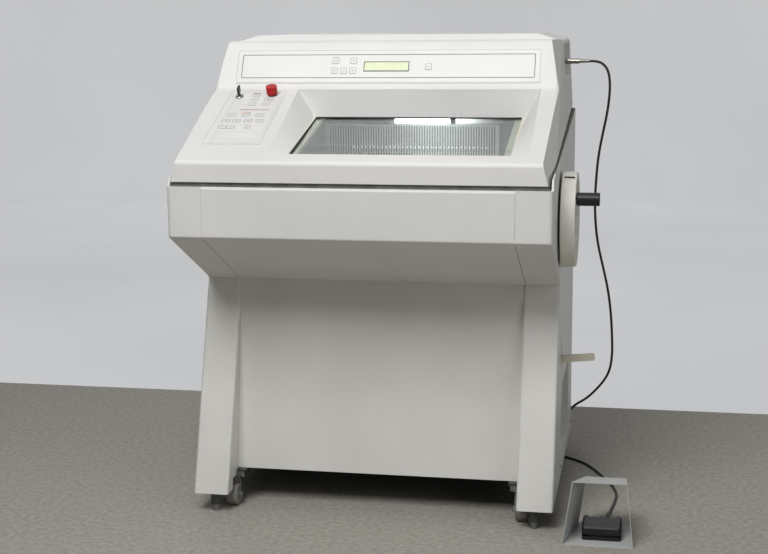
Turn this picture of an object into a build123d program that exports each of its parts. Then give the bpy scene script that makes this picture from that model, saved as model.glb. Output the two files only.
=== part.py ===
from build123d import *
import math
import os

# A floor-standing cryostat microtome. Millimetres, X to the right as the user faces it,
# Y to the back, Z up. The origin is on the floor under the middle of the cabinet.

os.makedirs("parts", exist_ok=True)

# Overall sizes of the cabinet
width = 800.0
depth = 766.0
height = 1040.0

# Heights that ride on the overall height, from the brow of the hood down to the knee
brow_height = height - 105
lip_top = brow_height - 133
lip_low = lip_top - 43
seam_front = lip_low + 11
seam_rear = seam_front + 98
armrest_top = lip_low - 10
armrest_low = armrest_top - 106
knee_height = armrest_low - 131

# Thicknesses of the walls
panel_wall = 3.0
moulding_wall = 4.0
sheet = 2.0

# Legs, front panel and armrest, seen from the side
leg_width = 79.0
leg_low = 47.0
toe_back = 110.0
knee_back = 263.0
shin_back = 197.0
shin_low = 84.0
armrest_cap = 75.0
armrest_corner = 10.0

# Hood, seen from the side
lip_back = 2.0
brow_back = 318.0
crown_back = 373.0
side_seal = 3.5
hood_top_narrowing = 17.0
lip_top_half = 379.0
lip_low_half = 390.0
brow_half = 387.0
hood_edge = 12.0

# Window pane, which slides up its own slope
pane_top_back = 319.0
pane_top_height = brow_height - 65
pane_tilt = 13.4
pane_length = 283.0
pane_thickness = 5.0
pane_left = -172.0
pane_right = 328.0
pane_travel = 225.0
pane_gap = 0.3
opening_left = -154.0
opening_right = 312.0
opening_length = 259.0
mouth_left = -192.0
mouth_right = 350.0
mouth_length = 308.0
rail_depth = 12.0
rail_ledge = 15.0
rail_top = 3.0

# Cold chamber
chamber_left = -225.0
chamber_right = 345.0
chamber_front = 31.0
chamber_floor = knee_height + 36
chamber_step = armrest_low + 25
chamber_rear = depth - 213
foam = 30.0

# Handwheel and its shaft
wheel_radius = 103.0
wheel_thickness = 31.0
wheel_back = 233.0
wheel_height = armrest_low + 20
wheel_gap = 5.0
shaft_radius = 12.0
running_gap = 0.05
grip_radius = 14.0
grip_length = 48.0
grip_back = -55.0
grip_up = 50.0

# Microtome in the chamber
microtome_x = 90.0
housing_left = -20.0
housing_right = 240.0
housing_front = 198.0
housing_depth = 245.0
housing_top = armrest_top - 4
specimen_height = housing_top - 45
stroke = 30.0
feed = 25.0
carriage_width = 80.0
carriage_height = 80.0
carriage_depth = 10.0
stem_radius = 14.0
head_radius = 22.0

# Base frame, casters and feet
deck_thickness = 4.0
base_low = 80.0
base_width = 316.0
post = 30.0
wheel_dia = 50.0
wheel_width = 26.0
caster_x = 328.0
caster_front_back = 201.0
caster_rear_back = depth - 65
caster_trail = 18.0
foot_x = 358.0
foot_back = 140.0
foot_radius = 8.0
foot_collar = 11.0
foot_lift = 12.0

# Bottle bay and drain lever on the right side
bay_depth = 92.0
bay_low = base_low + deck_thickness + sheet
bay_top = 264.0
bay_rear = depth - 128
bay_front_low = 283.0
bay_front_top = 393.0
lever_back = 336.0
lever_height = 324.0
lever_length = 149.0
lever_thickness = 12.0
lever_width = 15.0

# Foot switch and its guard on the floor to the right
guard_x = 497.0
guard_front = 50.0
guard_depth = 134.0
guard_height = 139.0
pedal_x = 504.0
pedal_width = 82.0
pedal_front = 83.0
pedal_depth = 78.0
pedal_height = 30.5

# Control cord of the foot switch
cord_dia = 6.0
socket_back = depth - 143
socket_height = height - 54

# Derived places
half_width = width / 2
front = -depth / 2
rear = depth / 2
leg_inner = half_width - leg_width
toe_y = front + toe_back
knee_y = front + knee_back
shin_y = front + shin_back
hood_front = front + lip_back
brow_y = front + brow_back
crown_y = front + crown_back
corner_y = front + 25
foot_y = front + foot_back
cap_inner = half_width - armrest_cap
pane_top_y = front + pane_top_back
tilt = math.radians(pane_tilt)
slope = math.atan2(brow_height - lip_top, brow_y - hood_front)
panel_tilt = math.atan2(height - brow_height, crown_y - brow_y)
wheel_y = front + wheel_back
mic_front = front + housing_front
mic_rear = mic_front + housing_depth


def seam_z(y):
    """Height of the seam under the hood at a depth y."""
    return seam_front + (seam_rear - seam_front) * (y - front) / depth


def cabinet_top(y):
    """Height of the cabinet's upper edge, one seal below the seam."""
    return seam_z(y) - side_seal


def underside_z(y):
    """Height of the armrest's sloping underside at a depth y."""
    return armrest_low + (knee_height - armrest_low) * (y - front) / knee_back


def leg_y(z):
    """Depth of the leg's sloping front face at a height z."""
    return knee_y + (toe_y - knee_y) * (knee_height - z) / (knee_height - leg_low)


def pane_z(y, below=0.0):
    """Height of the pane's top face at a depth y, or of a plane below it."""
    return pane_top_height + (y - pane_top_y) * math.tan(tilt) - below / math.cos(tilt)


def hood_half_width(z):
    """Half width of the hood's leaning sides at a height z."""
    lean = hood_top_narrowing * (z - lip_low) / (height - lip_low)
    return half_width - side_seal / 2 - lean


def slab(points, x_low, x_high, mode=Mode.ADD):
    """Add or cut a solid with a side outline of (y, z) points between two x planes."""
    with BuildSketch(Plane.YZ.offset(x_low)) as outline:
        Polygon(*points)
    extrude(outline.sketch, amount=x_high - x_low, mode=mode)


def block(x_low, x_high, y_low, y_high, z_low, z_high, mode=Mode.ADD):
    """Add or cut a block between six planes."""
    with BuildSketch(Plane.XY.offset(z_low)) as base:
        with Locations(((x_low + x_high) / 2, (y_low + y_high) / 2)):
            Rectangle(x_high - x_low, y_high - y_low)
    extrude(base.sketch, amount=z_high - z_low, mode=mode)


def rod(start, direction, radius, length, mode=Mode.ADD):
    """Add or cut a round rod from a start point along a direction."""
    with BuildSketch(Plane(origin=start, z_dir=direction)) as end:
        Circle(radius)
    extrude(end.sketch, amount=length, mode=mode)


def save(piece, name):
    """Label a finished piece and write its file."""
    piece.part.label = name
    export_step(piece.part, f"parts/{name}.step")


# Planes of the hood's three sloping faces
slope_plane = Plane(
    origin=(0, brow_y, brow_height),
    x_dir=(1, 0, 0),
    z_dir=(0, -math.sin(slope), math.cos(slope)),
)
upper_plane = Plane(
    origin=(0, brow_y, brow_height),
    x_dir=(1, 0, 0),
    z_dir=(0, -math.sin(panel_tilt), math.cos(panel_tilt)),
)
pane_plane = Plane(
    origin=(0, pane_top_y, pane_top_height),
    x_dir=(1, 0, 0),
    z_dir=(0, -math.sin(tilt), math.cos(tilt)),
)

# Base frame: floor pan, four square posts and the deck that carries the cold box
post_x = leg_inner - post - 20
post_front = knee_y + 10
caster_front_y = front + caster_front_back
caster_rear_y = front + caster_rear_back
post_rear = rear - 48
pan_top = base_low + deck_thickness
deck_low = knee_height - deck_thickness
drain_x = chamber_right - 19
drain_y = front + lever_back + 27
pipe_radius = 7.0

with BuildPart() as base_frame:
    block(-base_width, base_width, shin_y + 28, rear - 5, base_low, pan_top)
    for side in (-1, 1):
        wing = sorted((side * (caster_x - 30), side * base_width))
        block(wing[0], wing[1], caster_front_y - 24, shin_y + 28, base_low, pan_top)
        for low in (post_front, post_rear - post):
            sides = sorted((side * post_x, side * (post_x + post)))
            block(sides[0], sides[1], low, low + post, pan_top, deck_low)
    block(-leg_inner, leg_inner, knee_y + 8, rear - 5, deck_low, knee_height)
    rod((drain_x, drain_y, deck_low - 1), (0, 0, 1), pipe_radius, deck_thickness + 2, Mode.SUBTRACT)
save(base_frame, "base_frame")

# Side panels with their hollow front legs
side_outline = [
    (knee_y, knee_height),
    (knee_y + 12, knee_height),
    (toe_y + 12, leg_low),
    (rear - sheet, leg_low),
    (rear - sheet, cabinet_top(rear - sheet)),
    (knee_y, cabinet_top(knee_y)),
]
leg_tab = 42.0
leg_cut = 24.0
leg_column = [
    (knee_y, knee_height),
    (toe_y, leg_low),
    (toe_y + leg_tab, leg_low),
    (toe_y + leg_tab, leg_low + leg_cut),
    (shin_y + 26, leg_low + leg_cut),
    (knee_y + 30, knee_height),
]
leg_hollow = [
    (leg_y(knee_height) + panel_wall * 1.2, knee_height + 1),
    (leg_y(leg_low + 6) + panel_wall * 1.2, leg_low + 6),
    (shin_y + 60, leg_low + 6),
    (shin_y + 90, knee_height + 1),
]


def side_panel(side):
    """Make one side panel; side is 1 on the right and -1 on the left."""
    with BuildPart() as panel:
        slab(leg_column, side * leg_inner, side * half_width)
        long_edges = panel.edges().filter_by(
            lambda e: e.length > 300 and abs(e.center().Y - (toe_y + knee_y) / 2) < 1
        )
        fillet(long_edges, 6)
        slab(side_outline, side * (half_width - panel_wall), side * half_width)
        slab(
            leg_hollow,
            side * (leg_inner + panel_wall),
            side * (half_width - panel_wall),
            Mode.SUBTRACT,
        )
        rod((side * foot_x, foot_y, foot_lift + 3), (0, 0, 1), foot_collar, leg_low - foot_lift - 2)
        bore = foot_radius + running_gap
        rod((side * foot_x, foot_y, foot_lift), (0, 0, 1), bore, leg_low - 4, Mode.SUBTRACT)
    return panel


side_panel_left = side_panel(-1)
save(side_panel_left, "side_panel_left")

bay_outline = [
    (front + bay_front_low, bay_low),
    (front + bay_front_top, bay_top),
    (front + bay_rear, bay_top),
    (front + bay_rear, bay_low),
]
slot_low = lever_height - 8
slot_high = lever_height + 65
side_blank = side_panel(1)
with BuildPart() as side_panel_right:
    add(side_blank.part)
    slab(bay_outline, half_width - 10, half_width + 1, Mode.SUBTRACT)
    block(
        half_width - 10,
        half_width + 1,
        front + lever_back - lever_thickness / 2 - 2,
        front + lever_back + lever_thickness / 2 + 2,
        slot_low,
        slot_high,
        Mode.SUBTRACT,
    )
save(side_panel_right, "side_panel_right")

# Front panel between the legs, with its folded lower flange
front_sheet = [
    (knee_y, knee_height),
    (shin_y, shin_low),
    (shin_y + 18, shin_low),
    (shin_y + 18, shin_low + sheet),
    (shin_y + sheet, shin_low + sheet),
    (knee_y + sheet, knee_height),
]
with BuildPart() as front_panel:
    slab(front_sheet, -leg_inner, leg_inner)
save(front_panel, "front_panel")

# Armrest band: a middle moulding and two end caps that wrap round the corners
seal_step = lip_low - armrest_top
band_outer = [
    (front, armrest_top),
    (front, armrest_low),
    (knee_y, knee_height),
    (knee_y, armrest_top),
]
under_slope = math.atan2(armrest_low - knee_height, knee_back)
under_drop = moulding_wall / math.cos(under_slope)
band_inner = [
    (front + moulding_wall, armrest_top - moulding_wall),
    (front + moulding_wall, underside_z(front + moulding_wall) + under_drop),
    (knee_y + 1, underside_z(knee_y + 1) + under_drop),
    (knee_y + 1, armrest_top - moulding_wall),
]
ledge_y = front + chamber_front
with BuildPart() as armrest_center:
    slab(band_outer, -cap_inner, cap_inner)
    front_edges = armrest_center.edges().filter_by(Axis.X).group_by(Axis.Y)[0]
    fillet(front_edges, 6)
    slab(band_inner, -cap_inner - 1, cap_inner + 1, Mode.SUBTRACT)
    block(-width, width, ledge_y - 1, knee_y + 1, armrest_top - 20, armrest_top + 1, Mode.SUBTRACT)
save(armrest_center, "armrest_center")

cap_side = [
    (front, armrest_top),
    (front, armrest_low),
    (knee_y, knee_height),
    (knee_y, cabinet_top(knee_y)),
    (corner_y, cabinet_top(corner_y)),
    (front + 11, armrest_top),
]


def armrest_end(side):
    """Make one end cap of the armrest; side is 1 on the right and -1 on the left."""
    inner_x = sorted((side * (half_width - moulding_wall), side * (cap_inner - 1)))
    with BuildPart() as cap:
        slab(band_outer, side * cap_inner, side * (half_width - moulding_wall))
        slab(cap_side, side * (half_width - moulding_wall), side * half_width)
        corner = cap.edges().filter_by(Axis.Z).group_by(Axis.Y)[0]
        outer = corner.sort_by(Axis.X)[-1] if side > 0 else corner.sort_by(Axis.X)[0]
        fillet(outer, armrest_corner)
        low_edges = cap.edges().filter_by(
            lambda e: abs(e.center().Z - armrest_low) < 1 and e.center().Y < front + armrest_corner
        )
        fillet(low_edges, 5)
        slab(band_inner, inner_x[0], inner_x[1], Mode.SUBTRACT)
        block(
            inner_x[0],
            inner_x[1],
            ledge_y - 1,
            knee_y + 1,
            armrest_top - 20,
            armrest_top + 1,
            Mode.SUBTRACT,
        )
        if side > 0:
            rod(
                (half_width - 20, wheel_y, wheel_height),
                (1, 0, 0),
                shaft_radius + 2,
                40,
                Mode.SUBTRACT,
            )
    return cap


armrest_end_left = armrest_end(-1)
save(armrest_end_left, "armrest_end_left")
armrest_end_right = armrest_end(1)
save(armrest_end_right, "armrest_end_right")

# Rear panel with two columns of cooling louvres and a recessed mains inlet
rear_sheet = [
    (rear - sheet, leg_low),
    (rear, leg_low),
    (rear, cabinet_top(rear)),
    (rear - sheet, cabinet_top(rear - sheet)),
]
louvre_pitch = 18.0
inlet_x, inlet_z = 250.0, 160.0
inlet_width, inlet_height = 48.0, 30.0
inlet_depth = 24.0
pin_pitch = 10.0
with BuildPart() as rear_panel:
    slab(rear_sheet, -half_width, half_width)
    with BuildSketch(Plane.XZ.offset(-rear - 1)) as louvres:
        with Locations((-110, 205)):
            with GridLocations(130, louvre_pitch, 2, 11):
                SlotOverall(110, 6)
        with Locations((-110, 620)):
            with GridLocations(130, louvre_pitch, 2, 5):
                SlotOverall(110, 6)
        with Locations((inlet_x, inlet_z)):
            RectangleRounded(inlet_width, inlet_height, 3)
    extrude(louvres.sketch, amount=sheet + 2, mode=Mode.SUBTRACT)
    inlet_half, inlet_rise = inlet_width / 2, inlet_height / 2
    block(
        inlet_x - inlet_half - 6,
        inlet_x + inlet_half + 6,
        rear - inlet_depth - sheet,
        rear - sheet,
        inlet_z - inlet_rise - 7,
        inlet_z + inlet_rise + 7,
    )
    block(
        inlet_x - inlet_half,
        inlet_x + inlet_half,
        rear - inlet_depth,
        rear + 1,
        inlet_z - inlet_rise,
        inlet_z + inlet_rise,
        Mode.SUBTRACT,
    )
    for pin in (-1, 0, 1):
        with Locations((inlet_x + pin * pin_pitch, rear - inlet_depth, inlet_z)):
            Box(2, 14, 6, align=(Align.CENTER, Align.MIN, Align.CENTER))
save(rear_panel, "rear_panel")

# Seal between the cabinet and the hood
turn_y = front + 80


def seal_line(y_low, y_high):
    """Side outline of the seal between two depths."""
    return [
        (y_low, cabinet_top(y_low)),
        (y_high, cabinet_top(y_high)),
        (y_high, seam_z(y_high)),
        (y_low, seam_z(y_low)),
    ]


with BuildPart() as hood_gasket:
    block(-half_width + 12, half_width - 12, front + 8, front + 16, armrest_top, lip_low)
    for side in (-1, 1):
        slab(
            seal_line(turn_y, rear - 1),
            side * (half_width - 7),
            side * (half_width - 1),
        )
        slab(
            seal_line(corner_y, turn_y + 6),
            side * (half_width - 13),
            side * (half_width - 6),
        )
        slab(
            [
                (front + 8, armrest_top),
                (front + 8, lip_low),
                (corner_y, seam_z(corner_y)),
                (corner_y, cabinet_top(corner_y)),
                (front + 13, armrest_top),
            ],
            side * (half_width - 14),
            side * (half_width - 7),
        )
        slab(
            [
                (corner_y - 6, cabinet_top(corner_y) - 4),
                (corner_y - 6, seam_z(corner_y) - 4),
                (corner_y, seam_z(corner_y)),
                (corner_y, cabinet_top(corner_y)),
            ],
            side * (half_width - 14),
            side * (half_width - 7),
        )
        slab(
            [
                (corner_y, cabinet_top(corner_y)),
                (corner_y, seam_z(corner_y)),
                (corner_y + 8, seam_z(corner_y + 8)),
                (corner_y + 8, cabinet_top(corner_y + 8)),
            ],
            side * (half_width - 14),
            side * (half_width - 7),
        )
    slab(
        [
            (rear - 7, cabinet_top(rear - 7)),
            (rear - 7, seam_z(rear - 7)),
            (rear - 1, seam_z(rear - 1)),
            (rear - 1, cabinet_top(rear - 1)),
        ],
        -half_width + 7,
        half_width - 7,
    )
save(hood_gasket, "hood_gasket")

# Hood: one moulded shell with the lofted window recess and a side pocket
hood_outline = [
    (hood_front, lip_low),
    (hood_front, lip_top),
    (brow_y, brow_height),
    (crown_y, height),
    (rear, height),
    (rear, seam_z(rear)),
    (corner_y, seam_z(corner_y)),
]
hood_hollow = [
    (hood_front, leg_low),
    (hood_front, lip_top),
    (brow_y, brow_height),
    (crown_y, height),
    (rear, height),
    (rear, leg_low),
]


def front_view(extra):
    """Outline of the hood from the front, drawn in by a wall thickness."""
    low = lip_low - 300
    return [
        (-hood_half_width(low) + extra, low),
        (hood_half_width(low) - extra, low),
        (hood_half_width(height) - extra, height + 50),
        (-hood_half_width(height) + extra, height + 50),
    ]


def front_corner(side, sink):
    """Cut away the corner in front, where the hood's side turns in towards the lip."""
    edge = [
        Vector(side * lip_top_half, hood_front, lip_top),
        Vector(side * brow_half, brow_y, brow_height),
        Vector(side * lip_low_half, hood_front, lip_low),
    ]
    outward = (edge[1] - edge[0]).cross(edge[2] - edge[0]).normalized() * -side
    cutter = Plane(origin=edge[0] - outward * sink, z_dir=outward)
    with BuildSketch(cutter) as corner_cut:
        Rectangle(2 * depth, 2 * depth)
    extrude(corner_cut.sketch, amount=half_width, mode=Mode.SUBTRACT)


pocket_low, pocket_high = socket_height - 28, socket_height + 42
pocket_front, pocket_rear = front + socket_back - 90, front + socket_back + 90
pocket_floor = hood_half_width(height) - 22

with BuildPart() as hood_cavity:
    with BuildSketch(Plane.YZ.offset(-half_width)) as hollow_side:
        Polygon(*hood_hollow)
        offset(amount=-moulding_wall, kind=Kind.INTERSECTION)
    extrude(amount=width)
    with BuildSketch(Plane.XZ.offset(-rear - 1)):
        Polygon(*front_view(moulding_wall))
    extrude(amount=depth + 2, mode=Mode.INTERSECT)
    front_corner(-1, moulding_wall)
    front_corner(1, moulding_wall)
    block(
        pocket_floor - moulding_wall,
        half_width,
        pocket_front - moulding_wall,
        pocket_rear + moulding_wall,
        pocket_low - moulding_wall,
        pocket_high + moulding_wall - 1,
        Mode.SUBTRACT,
    )


def recess(grow, sink, floor_lift):
    """Loft from the recess mouth on the slope down to the opening over the pane."""
    with BuildSketch(slope_plane.offset(-sink)) as mouth:
        Polygon(
            (mouth_left - grow, -2 + grow),
            (mouth_right + grow, -2 + grow),
            (mouth_right + grow, -mouth_length - grow),
            (mouth_left - grow, -mouth_length - grow),
        )
    with BuildSketch(pane_plane.offset(floor_lift)) as floor:
        Polygon(
            (opening_left - grow - 3, grow),
            (opening_right + grow + 5, grow),
            (opening_right + grow - 5, -opening_length - grow),
            (opening_left - grow + 2, -opening_length - grow),
        )
    return loft([mouth.sketch.face(), floor.sketch.face()], ruled=True, mode=Mode.PRIVATE)


recess_wall = recess(moulding_wall, 1, rail_top)
recess_air = recess(0, -0.5, rail_top - 0.5)
with BuildPart() as hood:
    with BuildSketch(Plane.YZ.offset(-half_width)) as hood_side:
        Polygon(*hood_outline)
        soft_corners = hood_side.vertices().filter_by(lambda v: v.Y > lip_top - 1)
        fillet(soft_corners, hood_edge)
    extrude(amount=width)
    with BuildSketch(Plane.XZ.offset(-rear - 1)):
        Polygon(*front_view(0))
    extrude(amount=depth + 2, mode=Mode.INTERSECT)
    rim_edges = hood.edges().filter_by(
        lambda e: abs(e.center().X) > hood_half_width(height) - 2
        and e.center().Z > seam_z(e.center().Y) + 8
    )
    fillet(rim_edges, hood_edge - 2)
    front_corner(-1, 0)
    front_corner(1, 0)
    add(hood_cavity.part, mode=Mode.SUBTRACT)
    add(recess_wall)
    add(recess_air, mode=Mode.SUBTRACT)
    block(
        pocket_floor,
        half_width + 1,
        pocket_front,
        pocket_rear,
        pocket_low,
        pocket_high - 1,
        Mode.SUBTRACT,
    )
save(hood, "hood")

# Raised cover on top of the hood, with long slopes at its two ends
cover_x = 8.0
cover_y = (crown_y + rear) / 2 + 20
cover_width = width - 70
cover_length = depth - crown_back - 66
cover_rise = 13.0
cover_slope_x, cover_slope_y = 42.0, 12.0
with BuildPart() as top_cover:
    with BuildSketch(Plane.XY.offset(height)) as cover_foot:
        with Locations((cover_x, cover_y)):
            Rectangle(cover_width, cover_length)
    with BuildSketch(Plane.XY.offset(height + cover_rise)) as cover_roof:
        with Locations((cover_x, cover_y)):
            Rectangle(cover_width - 2 * cover_slope_x, cover_length - 2 * cover_slope_y)
    loft([cover_foot.sketch.face(), cover_roof.sketch.face()], ruled=True)
save(top_cover, "top_cover")

# Upper control plate, its display and the lower control plate
plate_v = 55.0
plate_width, plate_height = 689.0, 82.0
with BuildPart() as upper_control_plate:
    with BuildSketch(upper_plane):
        with Locations((2.5, plate_v)):
            RectangleRounded(plate_width, plate_height, 4)
    extrude(amount=1.5)
save(upper_control_plate, "upper_control_plate")

with BuildPart() as display_window:
    with BuildSketch(upper_plane.offset(1.5)):
        with Locations((3.5, plate_v - 1)):
            Rectangle(99, 20)
    extrude(amount=0.8)
save(display_window, "display_window")

side_plate_x = -280.0
with BuildPart() as side_control_plate:
    with BuildSketch(slope_plane):
        with Locations((side_plate_x, -139.5)):
            RectangleRounded(130, 259, 3)
    extrude(amount=1.5)
save(side_control_plate, "side_control_plate")

# Membrane keys of both plates: flat raised pads that don't travel
upper_key = 15.0
upper_keys = [(-113, 69), (-72, 68), (-114, 43.5), (-93, 43.5), (-72, 43.5), (98.5, 53)]
side_key_rows = [
    (-37, (-280,)),
    (-59, (-280, -248)),
    (-82, (-280, -248)),
    (-134, (-312, -280, -249)),
    (-162, (-318, -294, -268, -242)),
    (-193, (-318, -299)),
]
with BuildPart() as key_pads:
    with BuildSketch(upper_plane.offset(1.5)):
        with Locations(*upper_keys):
            RectangleRounded(upper_key, upper_key, 2)
    extrude(amount=0.8)
    for v, places in side_key_rows:
        with BuildSketch(slope_plane.offset(1.5)):
            with Locations(*[(x, v) for x in places]):
                RectangleRounded(18, 14, 2)
        extrude(amount=0.8)
save(key_pads, "key_pads")

# Key switch and its key
key_place = (-317.5, -45)
with BuildPart() as key_switch:
    with BuildSketch(slope_plane.offset(1.5)):
        with Locations(key_place):
            Circle(9)
    extrude(amount=4)
    chamfer(key_switch.faces().sort_by(Axis.Z)[-1].edges(), 0.8)
save(key_switch, "key_switch")

key_seat = slope_plane.offset(1.5 + 4 + 0.3)
key_stem, key_bow = 7.0, 14.0
with BuildPart() as switch_key:
    with BuildSketch(key_seat):
        with Locations(key_place):
            Rectangle(3, 8)
    extrude(amount=key_stem)
    with BuildSketch(key_seat.offset(key_stem)):
        with Locations(key_place):
            RectangleRounded(4, 18, 1.5)
    extrude(amount=key_bow)
save(switch_key, "switch_key")

# Emergency stop: a black collar and a red button that slides over it
stop_place = (-245, -34)
collar_height = 9.0
stop_travel = 4.0
with BuildPart() as emergency_stop_collar:
    with BuildSketch(slope_plane.offset(1.5)):
        with Locations(stop_place):
            Circle(10)
    extrude(amount=collar_height)
save(emergency_stop_collar, "emergency_stop_collar")

ribs = 24
button_height = 17.0
with BuildPart() as emergency_stop_button:
    with BuildSketch(slope_plane.offset(1.5 + stop_travel + 0.5)):
        with Locations(stop_place):
            Circle(12.2)
            with PolarLocations(12.2, ribs):
                Circle(0.7, mode=Mode.SUBTRACT)
    extrude(amount=button_height)
    with BuildSketch(slope_plane.offset(1.5)):
        with Locations(stop_place):
            Circle(10.4)
    extrude(amount=collar_height + stop_travel + 0.3, mode=Mode.SUBTRACT)
save(emergency_stop_button, "emergency_stop_button")

# Window pane and its two channel rails
rail_low = -rail_depth
rail_start = -opening_length - 18
rail_length = opening_length + pane_travel + 36
with BuildPart() as window_pane:
    with BuildSketch(pane_plane.offset(-pane_thickness)):
        with Locations(((pane_left + pane_right) / 2, pane_length / 2 - opening_length - 12)):
            Rectangle(pane_right - pane_left, pane_length)
    extrude(amount=pane_thickness)
save(window_pane, "window_pane")

rail_plane = Plane(
    origin=pane_plane.from_local_coords((0, rail_start, 0)),
    x_dir=(1, 0, 0),
    z_dir=pane_plane.y_dir,
)


def rail_section(edge, inner, ledge):
    """Channel section round one edge of the pane, in x and depth below the pane's top."""
    side = 1 if edge > 0 else -1
    back = edge + side * 7
    slot_end = edge + side * 1
    under = pane_thickness + pane_gap
    return [
        (back, -rail_top),
        (inner, -rail_top),
        (inner, -pane_gap),
        (slot_end, -pane_gap),
        (slot_end, under),
        (ledge, under),
        (ledge, rail_depth),
        (back, rail_depth),
    ]


with BuildPart() as window_rails:
    with BuildSketch(rail_plane):
        Polygon(*rail_section(pane_left, opening_left + 1, opening_left + rail_ledge))
        Polygon(*rail_section(pane_right, opening_right - 3, opening_right - rail_ledge - 3))
    extrude(amount=rail_length)
save(window_rails, "window_rails")

# Ceiling over the rear of the chamber, with the two lamp brackets
ceiling_start = 34.0
ceiling_end_y = front + chamber_rear - sheet
ceiling_end = (ceiling_end_y - pane_top_y) / math.cos(tilt)
lamp_left, lamp_right = 14.0, 140.0
lamp_y = pane_top_y + 79
lamp_z = pane_top_height - 12
lamp_radius = 8.0
with BuildPart() as chamber_ceiling:
    with BuildSketch(pane_plane.offset(-rail_depth - sheet)):
        with Locations(((chamber_left + chamber_right) / 2, (ceiling_start + ceiling_end) / 2)):
            Rectangle(chamber_right - chamber_left, ceiling_end - ceiling_start)
    extrude(amount=sheet)
    for x in (lamp_left - 10, lamp_right):
        slab(
            [
                (lamp_y - 11, lamp_z - 9),
                (lamp_y + 11, lamp_z - 9),
                (lamp_y + 11, pane_z(lamp_y + 11, rail_depth + sheet / 2)),
                (lamp_y - 11, pane_z(lamp_y - 11, rail_depth + sheet / 2)),
            ],
            x,
            x + 10,
        )
save(chamber_ceiling, "chamber_ceiling")

with BuildPart() as lamp_tube:
    rod((lamp_left, lamp_y, lamp_z), (1, 0, 0), lamp_radius, lamp_right - lamp_left)
save(lamp_tube, "lamp_tube")

# Stainless chamber tub and the foam box round it
tub_front = front + chamber_front
tub_rear = front + chamber_rear
floor_slope = (armrest_low - knee_height) / knee_back
floor_y = tub_front + (chamber_step - chamber_floor) / floor_slope


def tub_outline(inset):
    """Side outline of the tub, drawn in by a wall thickness and open at the top."""
    lift = inset * 1.12
    return [
        (tub_front + inset, pane_z(tub_front + inset, rail_depth + sheet)),
        (tub_front + inset, chamber_step + lift - inset * floor_slope),
        (floor_y + inset * 0.3, chamber_floor + inset),
        (tub_rear - inset, chamber_floor + inset),
        (tub_rear - inset, pane_z(tub_rear - inset, rail_depth + sheet)),
    ]


tub_air = tub_outline(sheet)
tub_air[0] = (tub_air[0][0], tub_air[0][1] + 60)
tub_air[-1] = (tub_air[-1][0], tub_air[-1][1] + 60)
with BuildPart() as chamber_tub:
    slab(tub_outline(0), chamber_left, chamber_right)
    slab(tub_air, chamber_left + sheet, chamber_right - sheet, Mode.SUBTRACT)
    rod((chamber_right - 10, wheel_y, wheel_height), (1, 0, 0), shaft_radius + 1, 20, Mode.SUBTRACT)
    rod((drain_x, drain_y, chamber_floor - 5), (0, 0, 1), pipe_radius - 2, 20, Mode.SUBTRACT)
save(chamber_tub, "chamber_tub")

foam_outline = [
    (front + moulding_wall, armrest_top - moulding_wall),
    (front + moulding_wall, underside_z(front + moulding_wall) + under_drop),
    (knee_y, underside_z(knee_y) + under_drop),
    (knee_y + 8, knee_height),
    (tub_rear + foam, knee_height),
    (tub_rear + foam, pane_z(tub_rear, 2 * foam)),
    (tub_front, armrest_top - moulding_wall),
]
bearing_radius = 22.0
with BuildPart() as chamber_insulation:
    slab(foam_outline, chamber_left - foam, chamber_right + foam)
    slab(tub_outline(0), chamber_left, chamber_right, Mode.SUBTRACT)
    slab(
        [
            (tub_front, armrest_top - 60),
            (tub_front, height),
            (tub_rear, height),
            (tub_rear, armrest_top - 60),
        ],
        chamber_left,
        chamber_right,
        Mode.SUBTRACT,
    )
    rod((chamber_right - 5, wheel_y, wheel_height), (1, 0, 0), bearing_radius, 60, Mode.SUBTRACT)
    rod((drain_x, drain_y, knee_height - 5), (0, 0, 1), pipe_radius, 60, Mode.SUBTRACT)
save(chamber_insulation, "chamber_insulation")

# Bearing of the handwheel's shaft, from the tub wall to the end cap
cap_inside = half_width - moulding_wall
with BuildPart() as shaft_bearing:
    rod((chamber_right, wheel_y, wheel_height), (1, 0, 0), bearing_radius, cap_inside - chamber_right)
    rod((chamber_right + foam, wheel_y, wheel_height), (1, 0, 0), bearing_radius + 12, 6)
    rod((chamber_right - 1, wheel_y, wheel_height), (1, 0, 0), shaft_radius + running_gap, 80, Mode.SUBTRACT)
save(shaft_bearing, "shaft_bearing")

# Handwheel, its shaft and the turning grip
wheel_in = half_width + wheel_gap
wheel_out = wheel_in + wheel_thickness
shaft_end = housing_right - 40
grip_y = wheel_y + grip_back
grip_z = wheel_height + grip_up
grip_pin = 4.0
hub_bore = 13.0
with BuildPart() as handwheel:
    with BuildSketch(Plane(origin=(0, wheel_y, wheel_height))) as wheel_half:
        Polygon(
            (wheel_in, hub_bore),
            (wheel_in, wheel_radius),
            (wheel_out, wheel_radius - 2),
            (wheel_out, wheel_radius - 14),
            (wheel_out - 5, wheel_radius - 20),
            (wheel_out - 5, 36),
            (wheel_out, 30),
            (wheel_out, hub_bore),
        )
    revolve(wheel_half.sketch, axis=Axis((0, wheel_y, wheel_height), (1, 0, 0)))
    rod((wheel_in + 10, grip_y, grip_z), (1, 0, 0), grip_radius + 4, wheel_thickness - 10)
    rod((wheel_out, grip_y, grip_z), (1, 0, 0), grip_pin, grip_length - 3)
    soft = handwheel.edges().filter_by(GeomType.CIRCLE).filter_by(lambda e: e.radius > wheel_radius - 3)
    fillet(soft, 2)
save(handwheel, "handwheel")

with BuildPart() as main_shaft:
    rod((shaft_end, wheel_y, wheel_height), (1, 0, 0), shaft_radius, wheel_out - 3 - shaft_end)
    rod((cap_inside + 5, wheel_y, wheel_height), (1, 0, 0), hub_bore - 0.02, wheel_out - 3 - cap_inside - 5)
save(main_shaft, "main_shaft")

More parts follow.
